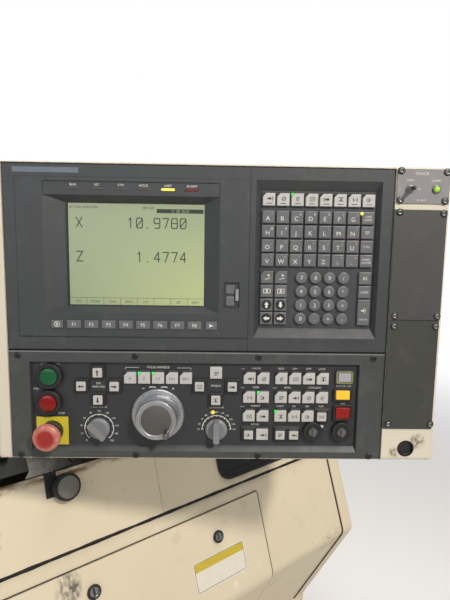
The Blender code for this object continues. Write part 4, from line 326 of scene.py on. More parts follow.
def dusty_plastic(name, colour, patch_colour, dust, roughness=0.5, most_dust=0.25):
    """Moulded ABS with a fine spark-eroded grain, greyed by a thin film of handling dust."""
    material, tree, place = finish(name, colour, patch_colour, roughness, ior=1.53, grain_mm=0.9,
                                   grain_depth_mm=0.03, patch_mm=60, rounding_mm=0.4)
    overlay(tree, mottling(tree, place, 26, -0.35, most_dust, 7), dust)
    return material


def plain_plastic(name, colour, patch_colour, roughness=0.45):
    """Moulded ABS or acrylic in a clean colour, satin, its edges just broken."""
    return finish(name, colour, patch_colour, roughness, grain_mm=1.2, grain_depth_mm=0.012, patch_mm=22,
                  rounding_mm=0.3)[0]


def worked_steel(name, colour, patch_colour, roughness, grain_mm=0.7, stretch=(1, 1, 1)):
    """Bare machined steel with a film of oil: a directional grain when stretched, duller in patches."""
    return finish(name, colour, patch_colour, roughness, metallic=1.0, grain_mm=grain_mm, grain_depth_mm=0.01,
                  patch_mm=45, gloss_change=0.08, rounding_mm=0.6, stretch=stretch)[0]


def cast_skin(name, colour, patch_colour, oil_colour):
    """A rough skin on cast or rusted iron: coarser than sheet, darkened in patches by oil."""
    material, tree, place = finish(name, colour, patch_colour, 0.5, grain_mm=4, grain_depth_mm=0.15, patch_mm=110,
                                   rounding_mm=2.5)
    overlay(tree, mottling(tree, place, 90, -0.5, 0.7, 6), oil_colour)
    return material


def well_plastic():
    """The lower fascia's moulded grey: its raised rim is dusty and its recessed floor darker and bluer."""
    material = dusty_plastic("grey_lower_fascia", "3B3E3F", "424546", "5A5B57", most_dust=0.3)
    tree = material.node_tree
    parts = add(tree, "SeparateXYZ", {0: panel_place(tree, tree.nodes["Texture Coordinate"].outputs["Object"])})
    overlay(tree, add(tree, "MapRange", {"Value": parts.outputs["Z"], "From Min": -3 * MM, "From Max": -5 * MM}),
            "2B2D31")
    return material


def smoked_glass():
    """Laminated safety glass drawn opaque and nearly black: painted shade standing for the dark inside seen through
    it, with a clear reflection.
    """
    return finish("glass_with_painted_inside_shade", "14181A", "1B1F20", 0.12, ior=1.52, grain_mm=8, grain_depth_mm=0.004,
                  patch_mm=140, gloss_change=0.04)[0]


def display_glass():
    """A passive display's green-grey film: paler at the bottom right, where the light catches it."""
    material, tree, place = finish("display_green_film", "939F83", "9AA489", 0.3, ior=1.49, grain_mm=1.0,
                                   grain_depth_mm=0.004, gloss_change=0.03)
    parts = add(tree, "SeparateXYZ", {0: panel_place(tree, place, (0.110, -0.213, 0))})
    across = add(tree, "MapRange", {"Value": parts.outputs["X"], "From Min": 0.0, "From Max": 0.208})
    up = add(tree, "MapRange", {"Value": parts.outputs["Y"], "From Min": 0.155, "From Max": 0.0})
    overlay(tree, add(tree, "Math", {0: across, 1: up}, operation="MULTIPLY"), "B4C08B")
    return material


def stop_red():
    """Sun-faded red nylon: dark in the middle where hands press, chalky pink on the rim."""
    material, tree, place = finish("faded_stop_red", "8E1C12", "A02A1E", 0.5, ior=1.53, grain_mm=1.5, patch_mm=18,
                                   rounding_mm=0.6)
    centred = panel_place(tree, place, (0.084, -0.410, 0))
    flat = add(tree, "VectorMath", {0: centred, 1: (1, 1, 0)}, operation="MULTIPLY")
    radius = add(tree, "VectorMath", {0: flat}, operation="LENGTH").outputs["Value"]
    outer = add(tree, "MapRange", {"Value": radius, "From Min": 0.010, "From Max": 0.0185},
                interpolation_type="SMOOTHSTEP")
    faded = mottling(tree, place, 7, 0.35, 1.0, 5)
    overlay(tree, add(tree, "Math", {0: outer, 1: faded}, operation="MULTIPLY"), "C98A7C")
    return material


def lamp_glow(name, colour, glow, strength):
    """A small lens with a light behind it, lit or unlit by its strength."""
    material, tree, place = finish(name, colour, colour, 0.3, ior=1.49, grain_mm=1.0, patch_mm=10,
                                   grain_depth_mm=0.005, rounding_mm=0.2)
    shader = tree.nodes["Principled BSDF"]
    shader.inputs["Emission Color"].default_value = linear(glow)
    shader.inputs["Emission Strength"].default_value = strength
    return material


CREAM = ("DED2B9", "D4C8AE", "A2957B", "7A5A3E")
PANEL_CREAM = ("D3CCBC", "C9C2B1", "A0947C", "6E5138")
cream = enamel("cream_enamel", *CREAM)
cream_sill = enamel("cream_enamel_stained_sill", *CREAM, marks=(
    ("6B4A30", (0.0, -0.546, 1.014), (1.4, 0.2, 0.020), 16, 1.2, (0.5, 1, 1)),
    ("54493B", (0.30, -0.560, 0.975), (0.07, 0.2, 0.016), 9, 0.5),
    ("8A6F52", (0.13, -0.575, 0.930), (0.03, 0.2, 0.09), 12, 0.5)))
# The first mark is paint worn to grey metal; the second, a pale patch low on the cover's right just above the knee, is
# painted light.
cream_cover_scuff_and_painted_light = enamel("cream_enamel_scuffed_cover_painted_light", *CREAM, marks=(
    ("66635F", (0.262, -0.628, 0.790), (0.034, 0.2, 0.050), 7, 1.3, (1, 1, 0.35)),
    ("EFE9DA", (0.690, -0.640, 0.655), (0.09, 0.2, 0.030), 18, 0.7)))
cream_apron = enamel("cream_enamel_scraped_apron", *CREAM, marks=(
    ("76705F", (1.000, -0.670, 0.690), (0.10, 0.2, 0.13), 5, 0.35, (1, 1, 0.16)),
    ("6D6250", (1.060, -0.690, 0.600), (0.08, 0.2, 0.05), 6, 0.8, (0.3, 1, 1))))
panel_cream = enamel("panel_cream_enamel", *PANEL_CREAM, dirt_mm=40, chip_mm=9, most_chipped=0.8, grain_mm=1.6,
                     rounding_mm=1.2, marks=(
    ("5E4428", ON_PANEL @ Vector((0.656, -0.421, 0)), (0.016, 0.016, 0.016), 6, 1.2),
    ("5E4428", ON_PANEL @ Vector((0.621, -0.439, 0)), (0.012, 0.012, 0.012), 6, 1.1)))
iron = cast_skin("cast_iron_grey_paint", "62655F", "4F524C", "34322A")
ground = worked_steel("oily_ground_steel", "8D8C86", "5F5C53", 0.30, stretch=(0.05, 1, 1))
chrome = worked_steel("polished_chrome", "CBCDD0", "B2B4B8", 0.18)
satin_steel = worked_steel("satin_steel", "84868A", "6B6C68", 0.55)
turned_steel = worked_steel("turned_steel", "8F9191", "75766F", 0.35, stretch=(1, 0.2, 0.2))
dark_steel = worked_steel("blackened_steel", "55575A", "3F4042", 0.42)
wheel_metal = worked_steel("satin_anodised_aluminium", "C2C4C8", "ACAEB0", 0.36, grain_mm=0.5)
# The windows' near-black is painted shade of the dark inside.
glass = smoked_glass()
rubber = plain_plastic("black_rubber", "17181A", "222325", 0.62)
fascia = dusty_plastic("grey_moulded_fascia", "363A3D", "3D4042", "545759", most_dust=0.2)
lower_fascia = well_plastic()
board_plastic = dusty_plastic("blue_grey_keyboard", "36393C", "3E4144", "505356", most_dust=0.2)
dark_key = dusty_plastic("mid_grey_key", "5D5F62", "66686B", "787877", roughness=0.42)
light_key = dusty_plastic("pale_grey_key", "B3B2B0", "BCBBB8", "C6C4C0", roughness=0.42)
reset_grey = dusty_plastic("mauve_grey_key", "9C99A1", "A5A2A9", "B0ADB0")
bezel_black = plain_plastic("black_bezel", "1D1E1F", "28292A", 0.4)
wheel_disc = dusty_plastic("dark_grey_disc", "4C4B4A", "545352", "6A6865")
knob_grey = dusty_plastic("grey_knob", "75777A", "808285", "96958F")
display = display_glass()
green_lens = plain_plastic("green_lens", "05502A", "075C30", 0.3)
red_lens = plain_plastic("red_lens", "780A05", "860F0A", 0.24)
yellow_plate = dusty_plastic("yellow_backing_plate", "CFC02E", "BCAC2B", "96893F")
yellow_lens = lamp_glow("yellow_lit_lens", "D99E22", "FFC04A", 0.45)
switch_red = plain_plastic("red_rocker", "8C0E0A", "7A0B08", 0.3)
stop_head = stop_red()
plate_light = dusty_plastic("light_grey_plate", "7C7B7D", "848384", "96948F")
plate_dark = dusty_plastic("dark_grey_plate", "3E3F3E", "464745", "5A5954", most_dust=0.2)
plate_green = dusty_plastic("green_grey_plate", "363834", "3E403A", "52514A", most_dust=0.2)
black = plain_plastic("black_nylon", "1A1B1C", "242526", 0.45)
print_white = plain_plastic("white_print", "D8D6CE", "C9C7BF", 0.5)
print_dark = plain_plastic("black_print", "1B1C1E", "26282A", 0.5)
lcd_ink = plain_plastic("display_segments", "2B3326", "333C2C", 0.4)
green_lamp = lamp_glow("green_lamp", "2E9A3C", "3CF052", 0.9)
yellow_lamp = lamp_glow("yellow_lamp", "D6C24A", "FFE25A", 0.6)
red_bar = plain_plastic("unlit_red_bar", "6B1E19", "57170F", 0.4)
badge_metal = plain_plastic("bare_badge_blue_grey", "5C6670", "666F78", 0.35)
# A pale grey line on the lower fascia's top lip: painted highlight.
lip_highlight_grey = plain_plastic("pale_fascia_edge_painted_highlight", "6F716F", "7A7C79", 0.5)
lime_frame = plain_plastic("lime_frame", "85864F", "92935C", 0.45)
lime_lamp = lamp_glow("lime_lamp", "8DB733", "B4E84A", 0.35)
unlit_bar = plain_plastic("unlit_bar", "45423E", "4D4943", 0.45)
# Black foam for the studs' collars; along the fold the same black is painted shade of the gap.
foam = plain_plastic("black_foam_and_painted_fold_shade", "141414", "26241F", 0.85)
# Dark strips for the seams: painted shade of the gaps.
seam_shade_strip = plain_plastic("painted_seam_shade", "2A2620", "4A4235", 0.75)
card_white = plain_plastic("off_white_card", "E2DDD0", "D6D0C0", 0.5)
card_yellow = plain_plastic("mustard_band", "C9B23A", "BDA536", 0.5)
bumper_grey = dusty_plastic("worn_grey_rubber", "6A6C66", "777972", "8A897F", roughness=0.6)
rusted = cast_skin("rusted_channel", "4A3626", "6B4226", "241E19")
# Partly oil, partly painted shade: the chip tray's near-black stands for the dark closed inside as well as its oil.
tray_oil_and_shade = cast_skin("oily_chip_tray_painted_shade", "2B2925", "3A352D", "16140F")

NODE_FINISHES = {
    satin_steel: ("turret_disc",),
    cream: ("left_end_cap", "right_end_cap", "right_guard", "left_guard", "door", "roof", "rear_cover",
            "electrical_cabinet", "cabinet_door", "pendant_arm"),
    cream_sill: ("front_sill",),
    cream_cover_scuff_and_painted_light: ("access_cover",),
    cream_apron: ("front_apron",),
    panel_cream: ("pendant_housing", "panel_rear_cover"),
    iron: ("base_casting", "headstock", "tailstock", "carriage", "cross_slide"),
    ground: ("bed", "door_rail"),
    turned_steel: ("spindle", "chuck_body", "quill", "live_centre", "ball_screw", "crank_knob", "key_switch_1",
                   "key_switch_2"),
    chrome: ("quarter_turn_1", "quarter_turn_2"),
    tray_oil_and_shade: ("chip_tray",),
    dark_steel: ("jaw_1", "jaw_2", "jaw_3"),
    wheel_metal: ("handwheel_base", "handwheel", "side_latch"),
    glass: ("guard_window", "door_window"),
    rubber: ("door_bumper",),
    fascia: ("upper_fascia",),
    lower_fascia: ("lower_fascia",),
    board_plastic: ("keyboard_plate",),
    display: ("lcd_screen",),
    yellow_plate: ("estop_plate",),
    stop_head: ("estop_head",),
    green_lens: ("start_button",),
    red_lens: ("feed_hold_button",),
    knob_grey: ("feed_knob", "override_knob"),
    reset_grey: ("reset_key",),
    yellow_lens: ("yellow_button",),
    switch_red: ("red_button", "main_switch"),
    plate_light: ("column_plate_1",),
    plate_dark: ("column_plate_2",),
    plate_green: ("column_plate_3",),
}
for material, names in NODE_FINISHES.items():
    for name in names:
        nodes[name].data.materials.clear()
        nodes[name].data.materials.append(material)


# Signs printed on keys: flat shapes about the key's middle, at a level over the panel's front.
PRINT_LIFT = 0.05


def flat_sign(points, level):
    """One printed field of colour: a flat outline at a level."""
    return np.column_stack([np.array(points, float), np.full(len(points), level)]), [list(range(len(points)))]


def arrow_sign(length, level, turn=0, shaft=0.3, head=0.5):
    """A filled arrow along x, turned by degrees; the shaft and head are shares of its length."""
    half, neck = length / 2, length * (0.5 - head)
    thin, wide = length * shaft / 2, length * head * 0.75
    points = [(-half, -thin), (neck, -thin), (neck, -wide), (half, 0), (neck, wide), (neck, thin), (-half, thin)]
    return moved(flat_sign(points, level), turn=math.radians(turn))


def bar_sign(width, height, level, x=0.0, y=0.0, turn=0.0):
    """A printed bar of a width and height, set off from the middle."""
    points = [(-width / 2, -height / 2), (width / 2, -height / 2), (width / 2, height / 2), (-width / 2, height / 2)]
    return moved(flat_sign(points, level), x, y, 0, turn)


def ring_sign(radius, width, level, x=0.0, y=0.0, start=0.0, end=math.tau, steps=20):
    """A printed ring or arc: its outline runs out along the outer radius and back along the inner one."""
    angle = np.linspace(start, end, steps)
    arcs = [np.stack([np.cos(a), np.sin(a)], 1) * r for a, r in ((angle, radius), (angle[::-1], radius - width))]
    points = np.column_stack([np.concatenate(arcs), np.full(2 * steps, level)])
    faces = [[i, i + 1, 2 * steps - 2 - i, 2 * steps - 1 - i] for i in range(steps - 1)]
    return moved((points, faces), x, y)


def frame_sign(width, height, line, level, x=0.0, y=0.0):
    """A printed rectangle drawn as four bars."""
    return ([bar_sign(width, line, level, x, y + height / 2 * side) for side in (1, -1)]
            + [bar_sign(line, height, level, x + width / 2 * side, y) for side in (-1, 1)])


def pictogram(number, level):
    """One of nine small machine signs, chosen by its number, about 11 mm wide."""
    signs = [
        [arrow_sign(7, level, shaft=0.25), bar_sign(1, 6, level, 5)],
        [ring_sign(3.2, 0.8, level), bar_sign(5, 0.8, level, turn=0.7)],
        [ring_sign(3, 0.8, level, start=0.6, end=5.2), arrow_sign(3, level)],
        frame_sign(7, 5, 0.7, level) + [bar_sign(4, 0.8, level)],
        [moved(arrow_sign(7, level), 1), ring_sign(2, 0.6, level, -3.5)],
        [bar_sign(8, 0.8, level, 0, -2), arrow_sign(5, level, -90), bar_sign(8, 0.8, level, 0, 3)],
        [bar_sign(0.8, 6, level, -3), bar_sign(0.8, 6, level, 3), bar_sign(5, 0.8, level)],
        frame_sign(4, 4, 0.7, level, -2, 0) + [arrow_sign(4, level, 45)],
        [bar_sign(7, 1, level, 0, 2.4), bar_sign(7, 1, level), bar_sign(4, 1, level, -1.5, -2.4)],
    ]
    return signs[number % len(signs)]


# Keyboard: the CAD keys' places, with caps drawn a little over them.
BOARD_FLOOR = -9
BOARD_TOP = -4.6
BOARD_KEY = 19.0
BOARD_PITCH = 21.35
BOARD_COLUMNS = [413.5 + BOARD_PITCH * i for i in range(8)]
BOARD_NICK = 5
MODE_ROW = 49.5
LIT_MODE = 2
LETTER_ROWS = [75.2 + BOARD_PITCH * i for i in range(4)]
NUMBER_PITCH = 21.0
NUMBER_ROWS = [165.5 + NUMBER_PITCH * i for i in range(4)]
NUMBER_COLUMNS = [466 + BOARD_PITCH * i for i in range(4)]
ROUND_KEY = 8.95
LETTERS = "ABCDEFGHIJKLMNOPQRSTUVWXYZ;."
SMALL_SIGNS = "! #$%()@&'?:/\\_^ ~|[]-=\"` <>"
# Small words on the last column: each with its row, counted from the first letter row, and its height.
SIDE_WORDS = (("CAPS", -0.5, 0, 3.1), ("LOCK", 0.5, 0, 3.1), ("SP", 0, 1, 4.8), ("CTRL", 0, 2, 3.1),
              ("UPPER", -0.5, 3, 3.1), ("LOWER", 0.5, 3, 3.1))
SIDE_LINE = 4.6
NUMBERS = "789/456*123+0.=-"
ARROW_KEYS = ((2, 0, 90), (2, 1, -90), (3, 0, 180), (3, 1, 0))
BOARD_PROFILE = dished(BOARD_FLOOR, BOARD_TOP, (0, 1.3), (0.35, 0.45), (1.0, 0.05), (1.7, 0), (4, 0.12), (7, 0.2))
WINDOW_DROPS = (1.4, 0.3)


def board_cap(height=BOARD_KEY, nick=0.0):
    """A dished square key cap; the mode keys have their top left corner cut off."""
    return cap(BOARD_KEY, height, 0.7, BOARD_PROFILE, nick, steps=3)


def round_cap(r=ROUND_KEY):
    """A round dished key cap."""
    drops = [(r, 1.2), (r - 0.4, 0.4), (r - 1.2, 0), (r * 0.5, 0.15), (r * 0.2, 0.2)]
    return turned([(r, BOARD_FLOOR)] + [(radius, BOARD_TOP - drop) for radius, drop in drops], 28)


def notch(size, nick, top):
    """The three-cornered lamp window in a square key's cut corner, with its levels a little under the key's top."""
    half = size / 2
    corner = [(-half, half - nick), (nick - half, half), (-half, half)]
    return stack([[(x, y, top - drop) for x, y in corner] for drop in WINDOW_DROPS])


def make_keyboard():
    """Every key of the keyboard, and what is printed on them."""
    columns, rows, last = BOARD_COLUMNS, NUMBER_ROWS, BOARD_COLUMNS[-1]
    level = BOARD_TOP + PRINT_LIFT
    modes, letters, numbers = grid(columns, [MODE_ROW]), grid(columns, LETTER_ROWS), grid(NUMBER_COLUMNS, rows)
    windows = copies(notch(BOARD_KEY, BOARD_NICK - 0.4, BOARD_TOP), modes)
    piece("lit_board_window", [windows.pop(LIT_MODE)], green_lamp)
    piece("dark_board_windows", windows, print_dark)
    signs = []
    for i, (x, down) in enumerate(modes):
        signs += set_on_panel(pictogram(i, level), x + 0.5, down - 1)
        signs.append(on_panel(bar_sign(9, 1.0, level, 0, -5.8), x, down))
    pairs, tall_middle = columns[:2], (rows[2] + rows[3]) / 2
    plain = board_cap()
    grey = copies(plain, letters) + copies(round_cap(), numbers)
    grey += copies(board_cap(nick=BOARD_NICK), grid(pairs, rows[:1])) + copies(plain, grid(pairs, rows[1:]))
    grey += copies(plain, grid([last], rows[:2])) + copies(board_cap(NUMBER_PITCH + BOARD_KEY), [(last, tall_middle)])
    words = [("BS", last, rows[0], 4.8), ("CAN", last, rows[1], 3.8), ("WRITE", last, tall_middle + 11, 2.9)]
    words += [(text, last, LETTER_ROWS[row] + line * SIDE_LINE, height) for text, line, row, height in SIDE_WORDS]
    words += [(number, x, down, 6.0) for number, (x, down) in zip(NUMBERS, numbers)]
    for letter, sign, (x, down) in zip(LETTERS, SMALL_SIGNS, grid(columns[:-1], LETTER_ROWS)):
        words += [(letter, x - 1.0, down + 2.0, 6.4)] + [(sign, x + 5.0, down - 4.6, 3.2)] * (sign != " ")
    white = []
    for row, column, turn in ARROW_KEYS:
        white.append(on_panel(arrow_sign(9.5, level + PRINT_LIFT, turn, 0.36), columns[column], rows[row]))
    for x, turn in zip(pairs, (90, -90)):
        white += set_on_panel(frame_sign(10, 6, 0.9, level) + [arrow_sign(6, level + PRINT_LIFT, turn)], x, rows[1])
        white += set_on_panel([bar_sign(8, 0.8, level, 1, -2, 0.35), ring_sign(1.6, 1.6, level, 2, 3)], x, rows[0])
    enter = [arrow_sign(6, level), ring_sign(4.5, 0.7, level, start=-1.3, end=1.3)]
    white += set_on_panel(enter, last - 1, tall_middle - 3)
    piece("pale_mode_keys", copies(board_cap(nick=BOARD_NICK), modes), light_key)
    piece("keyboard_caps", grey, dark_key)
    piece("mode_key_print", signs, print_dark)
    piece("arrow_key_discs", copies(ring_sign(7.6, 7.6, level), grid(pairs, rows[2:])), print_dark)
    piece("keyboard_signs", white, print_white)
    lettering("keyboard_letters", level, words, print_white)


# Soft keys under the display.
SOFT_TOP = 2.2
SOFT_PLACES = [123 + 25.9 * i for i in range(8)]
SOFT_ENDS = (SOFT_PLACES[0] - 25.5, SOFT_PLACES[-1] + 25.5)
SOFT_DOWN = 240
SOFT_SIZE = (21.3, 12.3)
END_SIZE = (17.3, 12.3)
SOFT_PROFILE = dished(0, SOFT_TOP, (0, 0.8), (0.3, 0.2), (0.9, 0), (3, 0.1))


def make_soft_keys():
    """The row of eight numbered keys with a narrow key at each end."""
    places, (left, right) = grid(SOFT_PLACES, [SOFT_DOWN]), grid(SOFT_ENDS, [SOFT_DOWN])
    caps = copies(cap(*SOFT_SIZE, 0.9, SOFT_PROFILE, steps=3), places)
    caps += copies(cap(*END_SIZE, 0.9, SOFT_PROFILE, steps=3), (left, right))
    level = SOFT_TOP + PRINT_LIFT
    signs = [on_panel(flat_sign([(-3, -2.6), (3.4, 0), (-3, 2.6)], level), *right)]
    signs += set_on_panel([ring_sign(4.2, 0.9, level), arrow_sign(5, level, 90)], *left)
    piece("soft_key_caps", caps, dark_key)
    piece("soft_key_signs", signs, print_white)
    lettering("soft_key_numbers", level, [(f"F{i}", *place, 5.2) for i, place in enumerate(places, 1)], print_white)


# Lower fascia: places as in the CAD, with every key, bezel and print drawn over its fixed pieces.
WELL_LEVEL = -6
WELL_PRINT = WELL_LEVEL + PRINT_LIFT
PALE_TOP = -1.6
PALE_KEY = 18.8
BEZEL = 22.4
BEZEL_TOP = -1.6
BEZEL_CAP = 14.3
BEZEL_CAP_TOP = 1.4
AXIS_KEYS = (156, 337)
SPINDLE_KEYS = (338, 336)
CROSS_PITCH = 23.5
CROSS_SHARES = ((0, -0.92), (-1.08, 0), (1.08, 0), (0, 0.92))
KEY_PITCH = 21.5
PULSE_PLACES = [(205.5 + KEY_PITCH * i, 323.3) for i in range(5)]
BLOCK_COLUMNS = [x + KEY_PITCH * i for x, i in ((390, 0), (390, 1), (396.5, 2), (396.5, 3), (396.5, 4), (396.5, 5))]
BLOCK_ROWS = [322.2 + 30.2 * i for i in range(4)]
START_PLACE = (83, 321)
HOLD_PLACE = (81, 363)
STOP_PLACE = (84, 410)
FEED_PLACE = (156, 406)
WHEEL_PLACE = (248.5, 381.5)
OVERRIDE_PLACE = (339.5, 406.5)
SWITCH_PLACES = ((491, 407), (536, 407))
RESET = (538, 320, 20, 14)
LIT_KEY = (536.4, 348, 21, 14)
RED_KEY = (537.3, 377.3, 22, 18)
FRAME_RIM = 4.3
NICK = 5.8
PALE_PROFILE = dished(WELL_LEVEL, PALE_TOP, (0, 0.9), (0.3, 0.25), (0.9, 0), (4, 0.1))
BEZEL_PROFILE = dished(WELL_LEVEL, BEZEL_TOP, (0, 1.2), (0.4, 0.4), (1.1, 0), (2.6, 0), (3.2, 0.35))
BEZEL_CAP_PROFILE = dished(WELL_LEVEL, BEZEL_CAP_TOP, (0, 0.7), (0.3, 0.15), (0.9, 0), (3, 0.05))


def pale_cap(nick):
    """A pale square key cap with its top left corner cut off."""
    return cap(PALE_KEY, PALE_KEY, 0.8, PALE_PROFILE, nick, steps=3)


def bezel_frame(width=BEZEL):
    """A raised black frame with a dished floor for its key."""
    return cap(width, BEZEL, 1.2, BEZEL_PROFILE, steps=3)


def cross_places(centre):
    """The places of four keys set in a cross: top, left, right and bottom."""
    return [(centre[0] + CROSS_PITCH * across, centre[1] + CROSS_PITCH * down) for across, down in CROSS_SHARES]


def make_lower_keys():
    """The pale keys and the bezelled keys, with their signs and their corner lamps."""
    columns, rows = BLOCK_COLUMNS, BLOCK_ROWS
    axis, spindle = cross_places(AXIS_KEYS), cross_places(SPINDLE_KEYS)
    block = grid(columns, rows[:3])[:-1]
    nicked = PULSE_PLACES + block
    framed = axis + spindle[1:] + [(columns[5], rows[2]), (columns[0], rows[3])]
    square = [spindle[0], (columns[1], rows[3])]
    pair = grid(columns[2:4], rows[3:])
    frames = copies(bezel_frame(), framed)
    frames.append(on_panel(bezel_frame(BEZEL + KEY_PITCH - 2.6), (pair[0][0] + pair[1][0]) / 2, rows[3]))
    low, high = PALE_TOP + PRINT_LIFT, BEZEL_CAP_TOP + PRINT_LIFT
    signs = []
    for number, (x, down) in enumerate(block + square):
        signs += set_on_panel(pictogram(number, low), x + 0.8, down + 1.2)
    signs += [on_panel(arrow_sign(9, high, turn, 0.22, 0.4), *place) for place, turn in zip(axis, (90, 180, 0, -90))]
    for number, place in enumerate((framed + pair)[len(axis):]):
        signs += set_on_panel(pictogram(number + 3, high), *place)
    words = [(text, x, down + 1, 4.2) for (x, down), text in zip(PULSE_PLACES, ("X", "Z", "1/1", "10/1", "50/1"))]
    lit = [nicked[1], nicked[2], (columns[1], rows[1]), (columns[2], rows[2])]
    window = notch(PALE_KEY, NICK - 0.5, PALE_TOP)
    piece("dark_key_windows", copies(window, [place for place in nicked if place not in lit]), print_dark)
    piece("lit_key_windows", copies(window, lit), green_lamp)
    piece("pale_keys", copies(pale_cap(NICK), nicked) + copies(pale_cap(0), square), light_key)
    piece("key_bezels", frames, bezel_black)
    caps = copies(cap(BEZEL_CAP, BEZEL_CAP, 0.9, BEZEL_CAP_PROFILE, steps=3), framed + pair)
    piece("bezel_caps", caps, light_key)
    piece("pale_key_signs", signs, print_dark)
    lettering("pulse_key_words", low, words, print_dark)


def ring_piece(name, place, inner, outer, low, high, material, body="panel"):
    """A round collar: its section is carried round the circle of its middle, with both top edges broken."""
    middle, half = (inner + outer) / 2, (outer - inner) / 2
    edge = min(0.8, half * 0.4)
    section = [(-half, low), (half, low), (half, high - edge), (half - edge, high), (edge - half, high),
               (-half, high - edge)]
    return piece(name, [on_panel(rim(outline(2 * middle, 2 * middle, middle, steps=12), section), *place)], material,
                 body)


def frame_piece(name, spot, material, wide=FRAME_RIM):
    """A rectangular collar round a rectangular key."""
    x, down, width, height = spot
    half = (wide - 0.7) / 2
    middle = half + 0.7
    high = WELL_LEVEL + 4.5
    section = [(-half, WELL_LEVEL), (half, WELL_LEVEL), (half, high - 0.8), (half - 0.8, high), (0.4 - half, high),
               (-half, high - 0.4)]
    path = outline(width + 2 * middle, height + 2 * middle, middle, steps=4)
    return piece(name, [on_panel(rim(path, section), x, down)], material)


def make_button_surrounds():
    """Collars and frames round the buttons, the stop head's collar and the locks' rings."""
    for name, place in (("start_collar", START_PLACE), ("hold_collar", HOLD_PLACE)):
        ring_piece(name, place, 13.4, 19.8, WELL_LEVEL, 4.6, bezel_black)
    ring_piece("stop_collar", STOP_PLACE, 9.4, 16.8, -4, 6.5, bezel_black)
    for number, place in enumerate(SWITCH_PLACES, 1):
        ring_piece(f"lock_bezel_{number}", place, 9.9, 15.3, WELL_LEVEL, 2.6, bezel_black)
        ring_piece(f"lock_cap_{number}", place, 6.6, 9.3, 1.5, 3.6, bezel_black, f"key_switch_{number}")
    frame_piece("reset_frame", RESET, lime_frame, 3.1)
    frame_piece("lit_key_frame", LIT_KEY, bezel_black)
    frame_piece("red_key_frame", RED_KEY, bezel_black)


# Scales round the two pointer knobs: where each arc starts and ends, in degrees clockwise from the right.
FEED_ARC = (-225, 45)
OVERRIDE_ARC = (-180, 0)
SCALE_RADIUS = 23


def make_scale(name, place, arc, numbers):
    """A printed arc with a tick and a number at each step."""
    x, down = place
    start, end = (-math.radians(a) for a in arc)
    tick, reach = moved(bar_sign(3.4, 0.9, WELL_PRINT), SCALE_RADIUS - 1.2), SCALE_RADIUS + 5.0
    parts, words = [ring_sign(SCALE_RADIUS, 1.1, WELL_PRINT, start=end, end=start, steps=48)], []
    for number, angle in zip(numbers, np.linspace(start, end, len(numbers))):
        parts.append(moved(tick, turn=angle))
        words.append((str(number), x + reach * math.cos(angle), down - reach * math.sin(angle), 2.7))
    piece(name + "_scale", set_on_panel(parts, x, down), print_white)
    lettering(name + "_numbers", WELL_PRINT, words, print_white)


# The handwheel's dial, rim and centre.
DIAL_LEVEL = 2.05
DIAL_STEPS = 100
DIAL_RADIUS = 32.4
DIAL_NUMBERS = 38.6
WHEEL_FACE = 24
WHEEL_DISC = 23.4
WHEEL_RIM = 27.3
FLUTES = 48
FLUTE_DEPTH = 0.35


def make_handwheel_details():
    """Graduations on the flange, a fluted rim whose radius is a cosine of the angle, and a flat centre disc."""
    x, down = WHEEL_PLACE
    ticks, words = [], []
    for step in range(DIAL_STEPS):
        angle = math.tau * step / DIAL_STEPS
        length = 2.2 if step % 10 else 4.2
        ticks.append(moved(moved(bar_sign(length, 0.45, DIAL_LEVEL), DIAL_RADIUS + length / 2), turn=angle))
        if step % 10 == 0:
            words.append((str(step), x + DIAL_NUMBERS * math.sin(angle), down - DIAL_NUMBERS * math.cos(angle), 2.2))
    piece("dial_graduations", set_on_panel(ticks, x, down), print_dark)
    lettering("dial_numbers", DIAL_LEVEL, words, print_dark)
    angle = np.linspace(0, math.tau, FLUTES * 6, endpoint=False)
    rings = []
    for radius, share, level in ((30.6, 0, 7.5), (31.3, 1, 8.6), (31.5, 1, 14), (31.3, 1, 21.5), (30.6, 0, 23.6)):
        r = radius + share * FLUTE_DEPTH * np.cos(angle * FLUTES)
        rings.append(np.stack([r * np.cos(angle), r * np.sin(angle), np.full_like(angle, level)], 1))
    piece("fluted_rim", [on_panel(stack(rings), x, down)], wheel_metal, "handwheel")
    lip = [(-2.6, WHEEL_FACE - 0.9), (2.6, WHEEL_FACE - 0.9), (2.2, WHEEL_FACE + 0.6), (0, WHEEL_FACE + 1.1),
           (-2.2, WHEEL_FACE + 0.6)]
    piece("wheel_rim", [on_panel(rim(outline(2 * WHEEL_RIM, 2 * WHEEL_RIM, WHEEL_RIM, steps=16), lip), x, down)],
          wheel_metal, "handwheel")
    disc = [(WHEEL_DISC, WHEEL_FACE - 1.1), (WHEEL_DISC, WHEEL_FACE - 0.5), (WHEEL_DISC - 0.6, WHEEL_FACE - 0.1),
            (2, WHEEL_FACE - 0.1)]
    piece("wheel_centre", [on_panel(turned(disc, 48), x, down)], wheel_disc, "handwheel")


# Screws, lamps and the small print of the lower fascia.
FASCIA_SCREWS = ((36, 289), (214, 289), (403, 289), (580.5, 289), (36, 447), (214, 447), (405, 447), (581, 447))
PLATE_SCREWS = ((606, 6), (674, 7), (606.5, 48), (673, 48.5), (607, 66), (673, 67), (608, 221), (673, 221),
                (608, 237), (672, 237), (608, 392), (674, 392))
PLATE_FACE = 3.3
CAPS_LAMP = (553, 68.5)
OVERRIDE_LAMP = (334, 379)


def socket_screw(radius, proud):
    """A button head with a hexagon socket: circles up to the crown, then hexagons down into the socket."""
    angle = np.arange(36) / 36 * math.tau
    hexagon = 0.5 / np.cos(np.mod(angle, math.pi / 3) - math.pi / 6)
    rows = [(1.0, 0), (0.97, 0.45), (0.82, 0.85), (0.62, 1.0), (hexagon, 0.95), (hexagon * 0.96, 0.3)]
    rings = [np.stack([np.cos(angle) * r, np.sin(angle) * r, np.full_like(angle, h)], 1) for r, h in rows]
    return stack(np.array(rings) * (radius, radius, proud))


